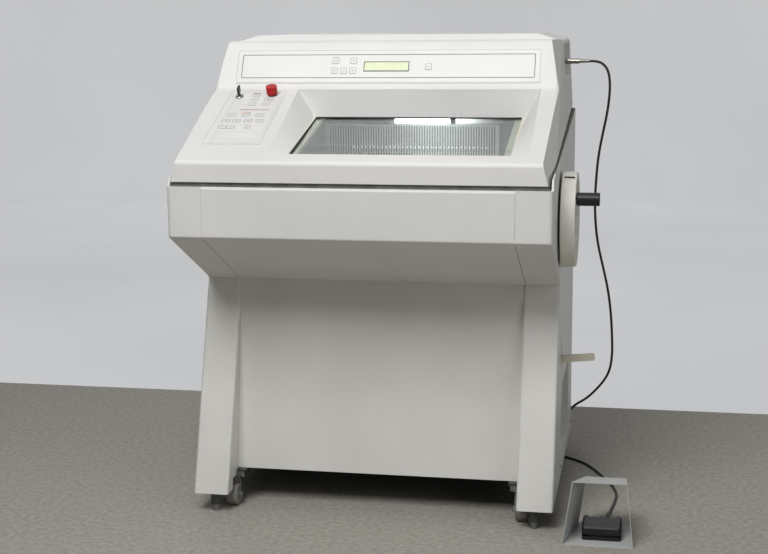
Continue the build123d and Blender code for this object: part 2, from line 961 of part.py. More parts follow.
with BuildPart() as handwheel_grip:
    rod((wheel_out + 1, grip_y, grip_z), (1, 0, 0), grip_radius, grip_length)
    fillet(handwheel_grip.edges().filter_by(GeomType.CIRCLE), 2)
    rod(
        (wheel_out, grip_y, grip_z),
        (1, 0, 0),
        grip_pin + running_gap,
        grip_length - 2,
        Mode.SUBTRACT,
    )
save(handwheel_grip, "handwheel_grip")

# Microtome housing: a casting with a forward table, guide bars and a stem slot
floor_in_y = floor_y + 0.3 * sheet
floor_in_z = chamber_floor + sheet
step_in_z = chamber_step + 1.12 * sheet - sheet * floor_slope
floor_rise = (step_in_z - floor_in_z) / (floor_in_y - tub_front - sheet)


def tub_floor_z(y):
    """Height of the tub's sloping inner floor at a depth y."""
    return floor_in_z + (floor_in_y - y) * floor_rise


casting = 6.0
table_low = specimen_height - 48
table_top = table_low + 12
table_front = mic_front - 127
table_gap_front = mic_front - 67
table_half = 70.0
guide_gap = 0.3
guide_width = 10.0
guide_depth = 14.0
stem_slot = 36.0
carriage_half = carriage_width / 2
carriage_low = specimen_height - carriage_height / 2
with BuildPart() as microtome_housing:
    slab(
        [
            (mic_front, tub_floor_z(mic_front) + 3),
            (floor_in_y + 6, floor_in_z),
            (mic_rear, floor_in_z),
            (mic_rear, housing_top - 60),
            (mic_rear - 60, housing_top),
            (mic_front, housing_top),
        ],
        housing_left,
        housing_right,
    )
    fillet(microtome_housing.edges().filter_by(lambda e: e.center().Z > housing_top - 61), 8)
    slab(
        [
            (mic_front + 55, floor_in_z - 1),
            (mic_rear - casting, floor_in_z - 1),
            (mic_rear - casting, housing_top - 60 - casting),
            (mic_rear - 60 - casting, housing_top - casting),
            (mic_front + 55, housing_top - casting),
        ],
        housing_left + casting,
        housing_right - casting,
        Mode.SUBTRACT,
    )
    block(
        microtome_x - table_half,
        microtome_x + table_half,
        table_front,
        mic_front + 1,
        table_low,
        table_top,
    )
    block(
        microtome_x - carriage_half - 6,
        microtome_x + carriage_half + 6,
        table_gap_front,
        mic_front,
        table_low - 1,
        table_top + 1,
        Mode.SUBTRACT,
    )
    for side in (-1, 1):
        inner = carriage_half + guide_gap
        bar = sorted((microtome_x + side * inner, microtome_x + side * (inner + guide_width)))
        block(bar[0], bar[1], mic_front - guide_depth, mic_front + 1, table_top - 40, housing_top - 12)
    block(
        microtome_x - stem_radius - 2,
        microtome_x + stem_radius + 2,
        mic_front - 1,
        mic_front + stem_slot,
        specimen_height - stroke - stem_radius - 4,
        housing_top + 1,
        Mode.SUBTRACT,
    )
    rod(
        (shaft_end - 2, wheel_y, wheel_height),
        (1, 0, 0),
        shaft_radius + running_gap,
        housing_right - shaft_end + 4,
        Mode.SUBTRACT,
    )
save(microtome_housing, "microtome_housing")

# Carriage that strokes up and down, and the specimen holder that feeds forward
carriage_back = mic_front - guide_gap
head_face = mic_front - 37
head_back = mic_front - 14
with BuildPart() as specimen_carriage:
    block(
        microtome_x - carriage_half,
        microtome_x + carriage_half,
        carriage_back - carriage_depth,
        carriage_back,
        carriage_low,
        carriage_low + carriage_height,
    )
    fillet(specimen_carriage.edges().filter_by(Axis.Y), 5)
    rod(
        (microtome_x, carriage_back - carriage_depth - 1, specimen_height),
        (0, 1, 0),
        stem_radius + running_gap,
        carriage_depth + 2,
        Mode.SUBTRACT,
    )
save(specimen_carriage, "specimen_carriage")

with BuildPart() as specimen_holder:
    rod((microtome_x, head_back, specimen_height), (0, 1, 0), stem_radius, 44)
    rod((microtome_x, head_face + 6, specimen_height), (0, 1, 0), head_radius, head_back - head_face - 6)
    rod((microtome_x, head_face, specimen_height), (0, 1, 0), head_radius - 2, 6)
    with Locations((microtome_x, head_face + 14, specimen_height + head_radius + 4)):
        Cylinder(3, 12)
save(specimen_holder, "specimen_holder")

# Knife holder on the table, its blade, anti-roll plate and clamp lever
knife_front = table_front + 4
knife_rear = table_gap_front - 6
edge_y = mic_front - 64.5
edge_z = specimen_height + 5
blade_lean = math.radians(24.3)
blade_length = 28.0
blade_thickness = 0.6
blade_half = 55.0
knife_half = 60.0
hinge_y = edge_y - 50
hinge_z = edge_z - 50 * math.tan(blade_lean) + 3.2


def along_blade(distance, lift):
    """Side-view point at a distance back from the edge, lifted off the blade's bed."""
    y = edge_y - distance * math.cos(blade_lean) - lift * math.sin(blade_lean)
    z = edge_z - distance * math.sin(blade_lean) + lift * math.cos(blade_lean)
    return y, z


ear_radius = 6.0
with BuildPart() as knife_holder:
    slab(
        [
            (knife_front, table_top),
            (knife_rear - 4, table_top),
            (knife_rear - 4, table_top + 12),
            along_blade(3, -4),
            along_blade(3, 0),
            along_blade(42, 0),
            (knife_front, along_blade(42, 0)[1]),
        ],
        microtome_x - knife_half,
        microtome_x + knife_half,
    )
    for side in (-1, 1):
        face = microtome_x + side * (knife_half - (4 if side > 0 else 0))
        rod((face, hinge_y, hinge_z), (1, 0, 0), ear_radius, 4)
        ear = sorted((microtome_x + side * knife_half, microtome_x + side * (knife_half - 4)))
        block(ear[0], ear[1], hinge_y - ear_radius, hinge_y + ear_radius, table_top + 8, hinge_z)
    rod(
        (microtome_x - knife_half - 1, hinge_y, hinge_z),
        (1, 0, 0),
        2.5 + running_gap,
        2 * knife_half + 2,
        Mode.SUBTRACT,
    )
    block(
        microtome_x - knife_half + 4,
        microtome_x + knife_half - 4,
        hinge_y - ear_radius,
        hinge_y + 2 * ear_radius,
        hinge_z - ear_radius,
        hinge_z + ear_radius,
        Mode.SUBTRACT,
    )
    rod((microtome_x + knife_half - 1, hinge_y + 20, table_top + 9), (1, 0, 0), 3, 9)
save(knife_holder, "knife_holder")

with BuildPart() as microtome_blade:
    slab(
        [
            along_blade(0, 0.02),
            along_blade(blade_length, 0),
            along_blade(blade_length, blade_thickness),
            along_blade(1.5, blade_thickness),
        ],
        microtome_x - blade_half,
        microtome_x + blade_half,
    )
save(microtome_blade, "microtome_blade")

with BuildPart() as anti_roll_plate:
    slab(
        [
            along_blade(1, blade_thickness + 0.3),
            along_blade(42, blade_thickness + 0.3),
            along_blade(42, blade_thickness + 2.3),
            along_blade(1, blade_thickness + 2.3),
        ],
        microtome_x - blade_half + 1,
        microtome_x + blade_half - 1,
    )
    slab(
        [
            along_blade(40, blade_thickness + 0.3),
            along_blade(40, blade_thickness + 2.3),
            (hinge_y, hinge_z + 2),
            (hinge_y, hinge_z - 1),
        ],
        microtome_x - blade_half + 1,
        microtome_x + blade_half - 1,
    )
    rod(
        (microtome_x - knife_half + 1, hinge_y, hinge_z),
        (1, 0, 0),
        2.5,
        2 * knife_half - 2,
    )
save(anti_roll_plate, "anti_roll_plate")

lever_hub_y, lever_hub_z = hinge_y + 20, table_top + 9
with BuildPart() as clamp_lever:
    rod((microtome_x + knife_half + 0.3, lever_hub_y, lever_hub_z), (1, 0, 0), 7, 7)
    slab(
        [
            (lever_hub_y - 5, lever_hub_z - 2),
            (lever_hub_y + 2, lever_hub_z + 5),
            (lever_hub_y - 24, lever_hub_z + 31),
            (lever_hub_y - 31, lever_hub_z + 24),
        ],
        microtome_x + knife_half + 1.3,
        microtome_x + knife_half + 6.3,
    )
    rod(
        (microtome_x + knife_half, lever_hub_y, lever_hub_z),
        (1, 0, 0),
        3 + running_gap,
        9,
        Mode.SUBTRACT,
    )
save(clamp_lever, "clamp_lever")

# Evaporator behind its slotted cover on the chamber's rear wall
cover_left, cover_right = -178.0, 237.0
cover_low, cover_high = chamber_floor + 48, chamber_floor + 290
cover_depth = 30.0
cover_back = tub_rear - sheet
cover_face = cover_back - cover_depth
slot_pitch = 8.5
slot_count = 46
with BuildPart() as evaporator_cover:
    block(cover_left, cover_right, cover_face, cover_back, cover_low, cover_high)
    block(
        cover_left + sheet,
        cover_right - sheet,
        cover_face + sheet,
        cover_back + 1,
        cover_low + sheet,
        cover_high - sheet,
        Mode.SUBTRACT,
    )
    with BuildSketch(Plane.XZ.offset(-cover_face + 1)) as slots:
        with Locations(((cover_left + cover_right) / 2, cover_high - 30)):
            with GridLocations(slot_pitch, 1, slot_count, 1):
                Rectangle(3.5, 40)
        with Locations(((cover_left + cover_right) / 2, cover_high - 142)):
            with GridLocations(slot_pitch, 1, slot_count, 1):
                Rectangle(3.5, 150)
        with Locations(((cover_left + cover_right) / 2, cover_high - 58)):
            with GridLocations(slot_pitch, 1, slot_count - 6, 1):
                Rectangle(3, 3)
    extrude(slots.sketch, amount=-4, mode=Mode.SUBTRACT)
save(evaporator_cover, "evaporator_cover")

fin_count = 22
with BuildPart() as evaporator:
    with BuildSketch(Plane.XY.offset(cover_low + 14)) as fins:
        with Locations(((cover_left + cover_right) / 2, cover_face + cover_depth / 2 + 1)):
            with GridLocations(18, 1, fin_count, 1):
                Rectangle(1.5, cover_depth - 10)
    extrude(fins.sketch, amount=cover_high - cover_low - 28)
    for z in (cover_low + 40, cover_low + 95, cover_low + 150, cover_low + 205):
        rod(
            (cover_left + sheet, cover_face + cover_depth / 2 + 1, z),
            (1, 0, 0),
            5,
            cover_right - cover_left - 2 * sheet,
        )
save(evaporator, "evaporator")

# Refrigeration set on the floor pan: compressor, condenser with the fan's motor, and fan
compressor_x, compressor_y = -160.0, 110.0
with BuildPart() as compressor:
    rod((compressor_x, compressor_y, pan_top + 17), (0, 0, 1), 72, 147)
    fillet(compressor.edges().filter_by(GeomType.CIRCLE).sort_by(Axis.Z)[-1], 34)
    rod((compressor_x, compressor_y, pan_top), (0, 0, 1), 84, 5)
    rod((compressor_x, compressor_y, pan_top + 4), (0, 0, 1), 66, 14)
    rod((compressor_x + 60, compressor_y, pan_top + 60), (1, 0, 0), 5, 35)
    rod((compressor_x + 95, compressor_y, pan_top + 60), (0, 0, 1), 5, 110)
save(compressor, "compressor")

coil_x = -110.0
coil_half, coil_height = 102.0, 226.0
coil_front, coil_rear = rear - 65, rear - 12
fan_y = coil_front - 16
fan_z = pan_top + 120
with BuildPart() as condenser:
    block(
        coil_x - coil_half,
        coil_x + coil_half,
        coil_front,
        coil_rear,
        pan_top,
        pan_top + coil_height,
    )
    block(
        coil_x - coil_half + 6,
        coil_x + coil_half - 6,
        coil_front - 1,
        coil_rear + 1,
        pan_top + 18,
        pan_top + coil_height - 6,
        Mode.SUBTRACT,
    )
    with BuildSketch(Plane.XY.offset(pan_top + 10)) as coil_fins:
        with Locations((coil_x, (coil_front + coil_rear) / 2 + 4)):
            with GridLocations(12, 1, 15, 1):
                Rectangle(1.5, 40)
    extrude(coil_fins.sketch, amount=coil_height - 14)
    for z in (pan_top + 60, pan_top + 120, pan_top + 180):
        rod((coil_x - coil_half + 4, (coil_front + coil_rear) / 2 + 4, z), (1, 0, 0), 4, 2 * coil_half - 8)
    with BuildSketch(Plane.XZ.offset(-coil_front)) as shroud:
        with Locations((coil_x, pan_top + coil_height / 2)):
            Rectangle(2 * coil_half, coil_height)
        with Locations((coil_x, fan_z)):
            Circle(90, mode=Mode.SUBTRACT)
    extrude(shroud.sketch, amount=3)
    rod((coil_x, fan_y - 44, fan_z), (0, 1, 0), 20, 34)
    rod((coil_x, fan_y - 12, fan_z), (0, 1, 0), 3, 16)
    block(coil_x - 8, coil_x + 8, fan_y - 38, fan_y - 24, pan_top, fan_z)
    block(coil_x - 25, coil_x + 25, fan_y - 46, fan_y - 16, pan_top, pan_top + 4)
save(condenser, "condenser")

blade_count = 5
with BuildPart() as fan_rotor:
    rod((coil_x, fan_y - 9, fan_z), (0, 1, 0), 16, 18)
    for index in range(blade_count):
        turn = Location((coil_x, fan_y, fan_z), (0, 360 * index / blade_count, 0))
        vane = turn * Location((0, 0, 46), (0, 0, 28)) * Box(30, 2.5, 70, mode=Mode.PRIVATE)
        add(vane)
    rod((coil_x, fan_y - 10, fan_z), (0, 1, 0), 3 + running_gap, 15, Mode.SUBTRACT)
save(fan_rotor, "fan_rotor")

# Bottle bay in the right side, its condensate bottle and the drain valve with its lever
bay_x = half_width - panel_wall - bay_depth
outlet_y = drain_y + 56
with BuildPart() as bottle_bay:
    with BuildSketch(Plane.YZ.offset(bay_x)) as bay_shell:
        Polygon(*bay_outline)
        offset(amount=sheet, kind=Kind.INTERSECTION)
    extrude(bay_shell.sketch, amount=bay_depth)
    slab(bay_outline, bay_x + sheet, half_width, Mode.SUBTRACT)
    rod((drain_x, outlet_y, bay_top - 1), (0, 0, 1), pipe_radius, 6, Mode.SUBTRACT)
save(bottle_bay, "bottle_bay")

bottle_x = bay_x + 43
bottle_y = drain_y + 120
bottle_top = bay_top - 54
neck_y = outlet_y
neck_x = bottle_x - 20
neck_radius = 16.0
with BuildPart() as condensate_bottle:
    with BuildSketch(Plane.XY.offset(bay_low)):
        with Locations((bottle_x, bottle_y)):
            RectangleRounded(76, 190, 14)
    extrude(amount=bottle_top - bay_low)
    fillet(condensate_bottle.faces().sort_by(Axis.Z)[-1].edges(), 8)
    rod((neck_x, neck_y, bottle_top - 1), (0, 0, 1), neck_radius, 13)
    with BuildSketch(Plane.XY.offset(bottle_top + 12)) as cap_disc:
        with Locations((neck_x, neck_y)):
            Circle(neck_radius + 2)
            with PolarLocations(neck_radius + 2, 20):
                Circle(1, mode=Mode.SUBTRACT)
            Circle(7, mode=Mode.SUBTRACT)
    extrude(cap_disc.sketch, amount=14)
save(condensate_bottle, "condensate_bottle")

lever_y = front + lever_back
valve_top = lever_height + 34
with BuildPart() as drain_valve:
    block(drain_x - 12, drain_x + 12, drain_y - 14, drain_y + 14, lever_height - 12, valve_top)
    fillet(drain_valve.edges().filter_by(Axis.Z), 3)
    rod((drain_x, drain_y - 13, lever_height), (0, -1, 0), 4, drain_y - 13 - lever_y + 7)
    rod((drain_x, drain_y + 13, valve_top - 9), (0, 1, 0), 6, 43)
    rod((drain_x, outlet_y, valve_top - 3), (0, 0, -1), 6, valve_top - 3 - bay_top + 6)
    rod((drain_x, drain_y, valve_top - 1), (0, 0, 1), pipe_radius - 0.3, chamber_floor - valve_top + 1)
    rod((drain_x, drain_y, valve_top - 1), (0, 0, 1), pipe_radius - 2, chamber_floor - valve_top + 2, Mode.SUBTRACT)
save(drain_valve, "drain_valve")

lever_rise = math.radians(5.5)
with BuildPart() as drain_lever:
    rod((drain_x, lever_y + lever_thickness / 2, lever_height), (0, -1, 0), 11, lever_thickness)
    lever_plane = Plane(
        origin=(drain_x, lever_y, lever_height),
        x_dir=(math.cos(lever_rise), 0, math.sin(lever_rise)),
        z_dir=(0, -1, 0),
    )
    with BuildSketch(lever_plane.offset(-lever_thickness / 2)) as bar:
        with Locations((lever_length / 2, 0)):
            Rectangle(lever_length, lever_width)
    extrude(bar.sketch, amount=lever_thickness)
    fillet(drain_lever.faces().sort_by(Axis.X)[-1].edges(), 3)
    rod(
        (drain_x, lever_y + lever_thickness, lever_height),
        (0, -1, 0),
        4 + running_gap,
        2 * lever_thickness,
        Mode.SUBTRACT,
    )
save(drain_lever, "drain_lever")

# Casters: swivelling forks in front, fixed ones behind, and their wheels
wheel_r = wheel_dia / 2
plate_top = leg_low + leg_cut
plate_low = plate_top - 4
boss_drop = 6.0
fork_gap = 0.6
fork_wall = 2.5
axle_radius = 4.0


def fork(x, y, trail, top):
    """Two fork legs, a bridge and an axle for a wheel that trails behind y."""
    for side in (-1, 1):
        leg = sorted(
            (
                x + side * (wheel_width / 2 + fork_gap),
                x + side * (wheel_width / 2 + fork_gap + fork_wall),
            )
        )
        slab(
            [
                (y - 14, top),
                (y + 12, top),
                (y - trail + 9, wheel_r - 7),
                (y - trail - 9, wheel_r - 7),
            ],
            leg[0],
            leg[1],
        )
    reach = wheel_width / 2 + fork_gap + fork_wall
    block(x - reach, x + reach, y - 14, y + 12, wheel_dia + 2, top)
    rod((x - reach - 3, y - trail, wheel_r), (1, 0, 0), axle_radius, 2 * reach + 6)


with BuildPart() as caster_mounts:
    for side in (-1, 1):
        plate = sorted((side * (caster_x - 18), side * (caster_x + 18)))
        spacer = sorted((side * (caster_x - 26), side * base_width))
        for y in (caster_front_y, caster_rear_y):
            block(plate[0], plate[1], y - 27, y + 22, plate_low, plate_top)
            block(spacer[0], spacer[1], y - 22, y + 22, plate_low, base_low)
        rod((side * caster_x, caster_front_y, plate_low), (0, 0, -1), 12, boss_drop)
        rod((side * caster_x, caster_front_y, plate_low - boss_drop + 1), (0, 0, -1), 5, 6)
        fork(side * caster_x, caster_rear_y, caster_trail, plate_low)
save(caster_mounts, "caster_mounts")

fork_top = plate_low - boss_drop - 0.3
for name, side in (("caster_fork_left", -1), ("caster_fork_right", 1)):
    with BuildPart() as caster_fork:
        fork(side * caster_x, caster_front_y, caster_trail, fork_top)
        rod((side * caster_x, caster_front_y, fork_top + 1), (0, 0, -1), 5 + running_gap, 7, Mode.SUBTRACT)
    save(caster_fork, name)

wheel_places = (
    ("front_wheel_left", -caster_x, caster_front_y - caster_trail),
    ("front_wheel_right", caster_x, caster_front_y - caster_trail),
    ("rear_wheel_left", -caster_x, caster_rear_y - caster_trail),
    ("rear_wheel_right", caster_x, caster_rear_y - caster_trail),
)
for name, x, y in wheel_places:
    with BuildPart() as caster_wheel:
        rod((x - wheel_width / 2, y, wheel_r), (1, 0, 0), wheel_r, wheel_width)
        rims = caster_wheel.edges().filter_by(GeomType.CIRCLE)
        fillet(rims, 4)
        rod((x - wheel_width / 2 - 1, y, wheel_r), (1, 0, 0), axle_radius + running_gap, 40, Mode.SUBTRACT)
    save(caster_wheel, name)

# Levelling feet under the front legs
for name, side in (("leveling_foot_left", -1), ("leveling_foot_right", 1)):
    with BuildPart() as leveling_foot:
        rod((side * foot_x, foot_y, 0), (0, 0, 1), foot_radius, leg_low - 3)
        chamfer(leveling_foot.edges().filter_by(GeomType.CIRCLE), 1)
    save(leveling_foot, name)

# Guard of the foot switch: a bent sheet tunnel, open in front and behind
guard_y = front + guard_front


def guard_ring(y, low_x, low_half, high_x, high_half, high_z, inset):
    """Face of the guard's tunnel in an upright plane, drawn in by a sheet's thickness."""
    with BuildSketch(Plane.XZ.offset(-y)) as ring:
        Polygon(
            (low_x - low_half + inset, inset),
            (low_x + low_half - inset, inset),
            (high_x + high_half - inset, high_z - inset),
            (high_x - high_half + inset, high_z - inset),
        )
    return ring.sketch.face()


def guard_tunnel(inset):
    """Loft of the tunnel between its front and rear faces."""
    near = guard_ring(guard_y, guard_x, 74, guard_x + 2.5, 56.5, guard_height, inset)
    far = guard_ring(guard_y + guard_depth, guard_x + 10, 57, guard_x + 12, 44, guard_height - 31, inset)
    return loft([near, far], ruled=True, mode=Mode.PRIVATE)


guard_outer, guard_inner = guard_tunnel(0), guard_tunnel(1.5)
with BuildPart() as switch_guard:
    add(guard_outer)
    add(guard_inner, mode=Mode.SUBTRACT)
save(switch_guard, "switch_guard")

# Foot switch: base with its hinge block, and the sprung pedal over it
guard_sheet = 1.5
switch_front = front + pedal_front
switch_rear = switch_front + pedal_depth
switch_half = pedal_width / 2
base_top = 9.0
skirt_low = base_top + 5.2
pedal_hinge_y = switch_rear - 11
pedal_hinge_z = 19.0
hinge_half = switch_half - 12
hinge_front = switch_rear - 22
with BuildPart() as foot_switch_base:
    block(
        pedal_x - switch_half,
        pedal_x + switch_half,
        switch_front,
        switch_rear,
        guard_sheet,
        base_top,
    )
    fillet(foot_switch_base.edges().filter_by(Axis.Z), 6)
    block(
        pedal_x - hinge_half,
        pedal_x + hinge_half,
        hinge_front,
        switch_rear,
        base_top - 1,
        pedal_height - 5,
    )
    rod(
        (pedal_x - switch_half + 2, pedal_hinge_y, pedal_hinge_z),
        (1, 0, 0),
        3,
        pedal_width - 4,
    )
save(foot_switch_base, "foot_switch_base")

with BuildPart() as foot_pedal:
    block(
        pedal_x - switch_half,
        pedal_x + switch_half,
        switch_front,
        switch_rear,
        skirt_low,
        pedal_height,
    )
    fillet(foot_pedal.edges().filter_by(Axis.Z), 6)
    top_edge = foot_pedal.edges().filter_by(Axis.X).sort_by(Axis.Z)[-2:].sort_by(Axis.Y)[0]
    chamfer(top_edge, 3.5)
    block(
        pedal_x - switch_half + 2.5,
        pedal_x + switch_half - 2.5,
        switch_front + 2.5,
        hinge_front - 1,
        0,
        pedal_height - 2.5,
        Mode.SUBTRACT,
    )
    block(
        pedal_x - hinge_half - 0.5,
        pedal_x + hinge_half + 0.5,
        hinge_front - 2,
        switch_rear + 1,
        0,
        pedal_height + 1,
        Mode.SUBTRACT,
    )
    rod(
        (pedal_x - switch_half + 1.7, pedal_hinge_y, pedal_hinge_z),
        (1, 0, 0),
        3 + running_gap,
        pedal_width - 3.4,
        Mode.SUBTRACT,
    )
save(foot_pedal, "foot_pedal")

# Socket in the hood's side pocket, and the plug with its boot
socket_y = front + socket_back
with BuildPart() as side_socket:
    rod((pocket_floor, socket_y, socket_height), (1, 0, 0), 14, 3)
    rod((pocket_floor + 2, socket_y, socket_height), (1, 0, 0), 9, 11)
save(side_socket, "side_socket")

plug_start = pocket_floor + 13
plug_end = 415.0
boot_end = 440.0
with BuildPart() as cord_plug:
    rod((plug_start, socket_y, socket_height), (1, 0, 0), 6.2, plug_end - plug_start)
    rod((plug_start + 6, socket_y, socket_height), (1, 0, 0), 7, 18)
    with BuildSketch(Plane.YZ.offset(plug_end)) as boot_root:
        with Locations((socket_y, socket_height)):
            Circle(4.6)
    with BuildSketch(Plane.YZ.offset(boot_end)) as boot_tip:
        with Locations((socket_y, socket_height)):
            Circle(3.4)
    loft([boot_root.sketch.face(), boot_tip.sketch.face()])
save(cord_plug, "cord_plug")

# Cord from the boot down behind the cabinet's corner and over the floor to the foot switch
cord_route = [
    (boot_end, socket_y, socket_height),
    (boot_end + 18.5, socket_y, socket_height),
    (474.5, 241, 976.7),
    (483.8, 243, 960.7),
    (487.5, 246, 936),
    (487, 251, 905),
    (482, 257, 862),
    (472.5, 262, 815),
    (463, 268, 763),
    (458, 275, 705),
    (455.5, 282, 646),
    (458, 289, 588),
    (465, 296, 536),
    (478, 303, 481),
    (490, 311, 428),
    (498, 320, 370),
    (502, 329, 312),
    (504, 340, 252),
    (497, 352, 203),
    (474, 371, 163),
    (440, 397, 121),
    (407, 416, 97),
    (388, 430, 70),
    (383, 436, 38),
    (384, 420, 12),
    (384, 386, 3),
    (376, 350, 3),
    (374, 314, 3),
    (381, 281, 3),
    (402, 257, 3),
    (430, 238, 3),
    (455, 205, 3),
    (475, 164, 3),
    (492, 122, 3),
    (509, 82, 3),
    (522, 42, 3),
    (529, 0, 3),
    (527, -40, 3),
    (523, -79, 3),
    (519, -110, 3),
    (516, -140, 6),
    (514, -170, 14),
    (513.5, switch_rear + 25, 17),
    (513.5, switch_rear, 17),
]


def corner_radii(points):
    """Radius of each arc: 0.45 of the shorter run over the tangent of half the turn."""
    radii = []
    for before, here, after in zip(points, points[1:], points[2:]):
        run_in = Vector(*here) - Vector(*before)
        run_out = Vector(*after) - Vector(*here)
        half_turn = math.radians(run_in.get_angle(run_out)) / 2
        radii.append(0.45 * min(run_in.length, run_out.length) / math.tan(half_turn))
    return radii


cord_radii = corner_radii(cord_route)
print("cord radii", [round(r) for r in cord_radii])
with BuildPart() as foot_switch_cord:
    with BuildLine() as cord_path:
        FilletPolyline(*cord_route, radius=cord_radii)
    first_run = Vector(*cord_route[1]) - Vector(*cord_route[0])
    with BuildSketch(Plane(origin=cord_route[0], z_dir=first_run)):
        Circle(cord_dia / 2)
    sweep()
cord_length = sum(edge.length for edge in cord_path.line.edges())
print("cord length", round(cord_length))
print("cord volume ratio", foot_switch_cord.part.volume / (math.pi * cord_dia**2 / 4 * cord_length))
save(foot_switch_cord, "foot_switch_cord")
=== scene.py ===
# %% [markdown]
# A cryostat microtome cuts frozen tissue in a cold chamber. Its frame comes packed from CAD:
# sheet steel panels, plastic mouldings and every part that moves. This notebook dresses that
# frame. Nothing here moves or resizes it: the cells add finishes, a flexible cord and the
# small fittings that CAD leaves plain. All lengths are metres, with the origin on the floor.

# %% Load the frame
import math
import bpy
from mathutils import Matrix, Vector


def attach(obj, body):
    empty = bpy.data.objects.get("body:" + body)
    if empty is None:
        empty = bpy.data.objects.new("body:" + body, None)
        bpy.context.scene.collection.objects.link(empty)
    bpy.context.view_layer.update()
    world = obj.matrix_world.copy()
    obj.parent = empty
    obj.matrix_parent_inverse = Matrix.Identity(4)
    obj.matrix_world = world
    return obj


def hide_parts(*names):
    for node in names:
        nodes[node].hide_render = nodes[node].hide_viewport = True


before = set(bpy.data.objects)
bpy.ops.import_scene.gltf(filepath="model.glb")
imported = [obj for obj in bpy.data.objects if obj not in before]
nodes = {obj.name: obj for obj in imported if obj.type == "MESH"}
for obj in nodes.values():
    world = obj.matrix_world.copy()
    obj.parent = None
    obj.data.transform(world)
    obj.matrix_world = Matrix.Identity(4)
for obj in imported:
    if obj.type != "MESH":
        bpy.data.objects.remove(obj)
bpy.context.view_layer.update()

print("nodes", len(nodes))

# %% [markdown]
# The camera stands at eye level of a seated user, three metres off and a little to the right.
# A camera looks along its own -Z, so its turn is built in three steps: heading, then tilt,
# then a small roll about the line of sight.

# %% Camera
camera_place = (0.58832, -3.13508, 1.07944)
heading, tilt_down, roll = 0.18986, 0.17977, -0.00909
focal_pixels, frame_width = 1399.2, 768
camera_data = bpy.data.cameras.new("camera")
camera_data.sensor_width = 36.0
camera_data.lens = focal_pixels / frame_width * camera_data.sensor_width
camera = bpy.data.objects.new("camera", camera_data)
bpy.context.scene.collection.objects.link(camera)
camera.matrix_world = (
    Matrix.Translation(camera_place)
    @ Matrix.Rotation(heading, 4, "Z")
    @ Matrix.Rotation(math.pi / 2 - tilt_down, 4, "X")
    @ Matrix.Rotation(roll, 4, "Z")
)
bpy.context.scene.camera = camera
print("lens", round(camera_data.lens, 2), "mm")

# %% [markdown]
# Three helpers serve every finish. One turns a hex colour, as a paint chart gives it, into the
# linear values that Blender mixes with. One adds a node and fills its inputs by name: a number
# goes into the socket, and another node's output is linked to it. The third starts a material.


# %% Helpers for colours and nodes
def colour(code):
    """Linear RGBA of an sRGB hex value."""
    channels = [int(code[i : i + 2], 16) / 255 for i in (1, 3, 5)]
    return [c / 12.92 if c <= 0.04045 else ((c + 0.055) / 1.055) ** 2.4 for c in channels] + [1.0]


def add_node(tree, kind, inputs=None, **settings):
    """Add one node, set its properties, and fill or link its inputs."""
    node = tree.nodes.new("ShaderNode" + kind)
    for key, value in settings.items():
        setattr(node, key, value)
    for name, value in (inputs or {}).items():
        if isinstance(value, bpy.types.NodeSocket):
            tree.links.new(value, node.inputs[name])
        else:
            node.inputs[name].default_value = value
    return node


def new_finish(name, base, roughness, **sockets):
    """Start a material on its shader, with the values that are the same all over."""
    finish = bpy.data.materials.new(name)
    finish.use_nodes = True
    shader = finish.node_tree.nodes["Principled BSDF"]
    shader.inputs["Base Color"].default_value = colour(base)
    shader.inputs["Roughness"].default_value = roughness
    for socket, value in sockets.items():
        shader.inputs[socket.replace("_", " ")].default_value = value
    return finish, finish.node_tree, shader


print("mid grey is", round(colour("#808080")[0], 3), "in linear light")

# %% [markdown]
# No real surface is one flat colour. Each finish here is a soft cloudiness between two close
# shades, with a fine grain that lifts the surface by some micrometres. Both come from noise in
# Object coordinates, which are metres here, so a size in millimetres becomes a scale per metre.


# %% Cloudiness and grain
def per_metre(millimetres):
    """Texture scale that repeats once in so many millimetres of Object coordinates."""
    return 1000 / millimetres


def mottle(tree, shader, light, dark, patch, grain, relief, stretch=(1, 1, 1)):
    """Wide colour patches and a fine grain. Both sizes are millimetres, the relief is microns."""
    place = add_node(tree, "TexCoord").outputs["Object"]
    patch_size = {"Vector": place, "Scale": per_metre(patch), "Detail": 4}
    patches = add_node(tree, "TexNoise", patch_size)
    shades = add_node(tree, "ValToRGB", {"Fac": patches.outputs["Fac"]})
    low, high = shades.color_ramp.elements
    low.color, low.position = colour(dark), 0.35
    high.color, high.position = colour(light), 0.65
    tree.links.new(shades.outputs["Color"], shader.inputs["Base Color"])
    spread = add_node(tree, "Mapping", {"Vector": place, "Scale": stretch})
    grain_size = {"Vector": spread.outputs[0], "Scale": per_metre(grain), "Detail": 2}
    fine = add_node(tree, "TexNoise", grain_size)
    lift = {"Height": fine.outputs["Fac"], "Strength": 0.6, "Distance": relief / 1e6}
    bump = add_node(tree, "Bump", lift)
    tree.links.new(bump.outputs["Normal"], shader.inputs["Normal"])
    return fine


def plain_finish(name, light, dark, roughness, patch, grain, relief, **sockets):
    """A finish that is only its mottle: two shades, a grain and a roughness."""
    finish, tree, shader = new_finish(name, light, roughness, **sockets)
    mottle(tree, shader, light, dark, patch, grain, relief)
    return finish


print("a 2 mm grain has a scale of", per_metre(2))

# %% [markdown]
# The stage is a vinyl floor that ends behind the machine, and a pale backdrop that goes on from
# there, flat at first and then upright. The backdrop's tone comes from its own material: what a
# camera, a reflection or a look through glass meets is the written colour at a strength of one.
# Every other ray meets plain paper, so the backdrop adds no light to the machine.

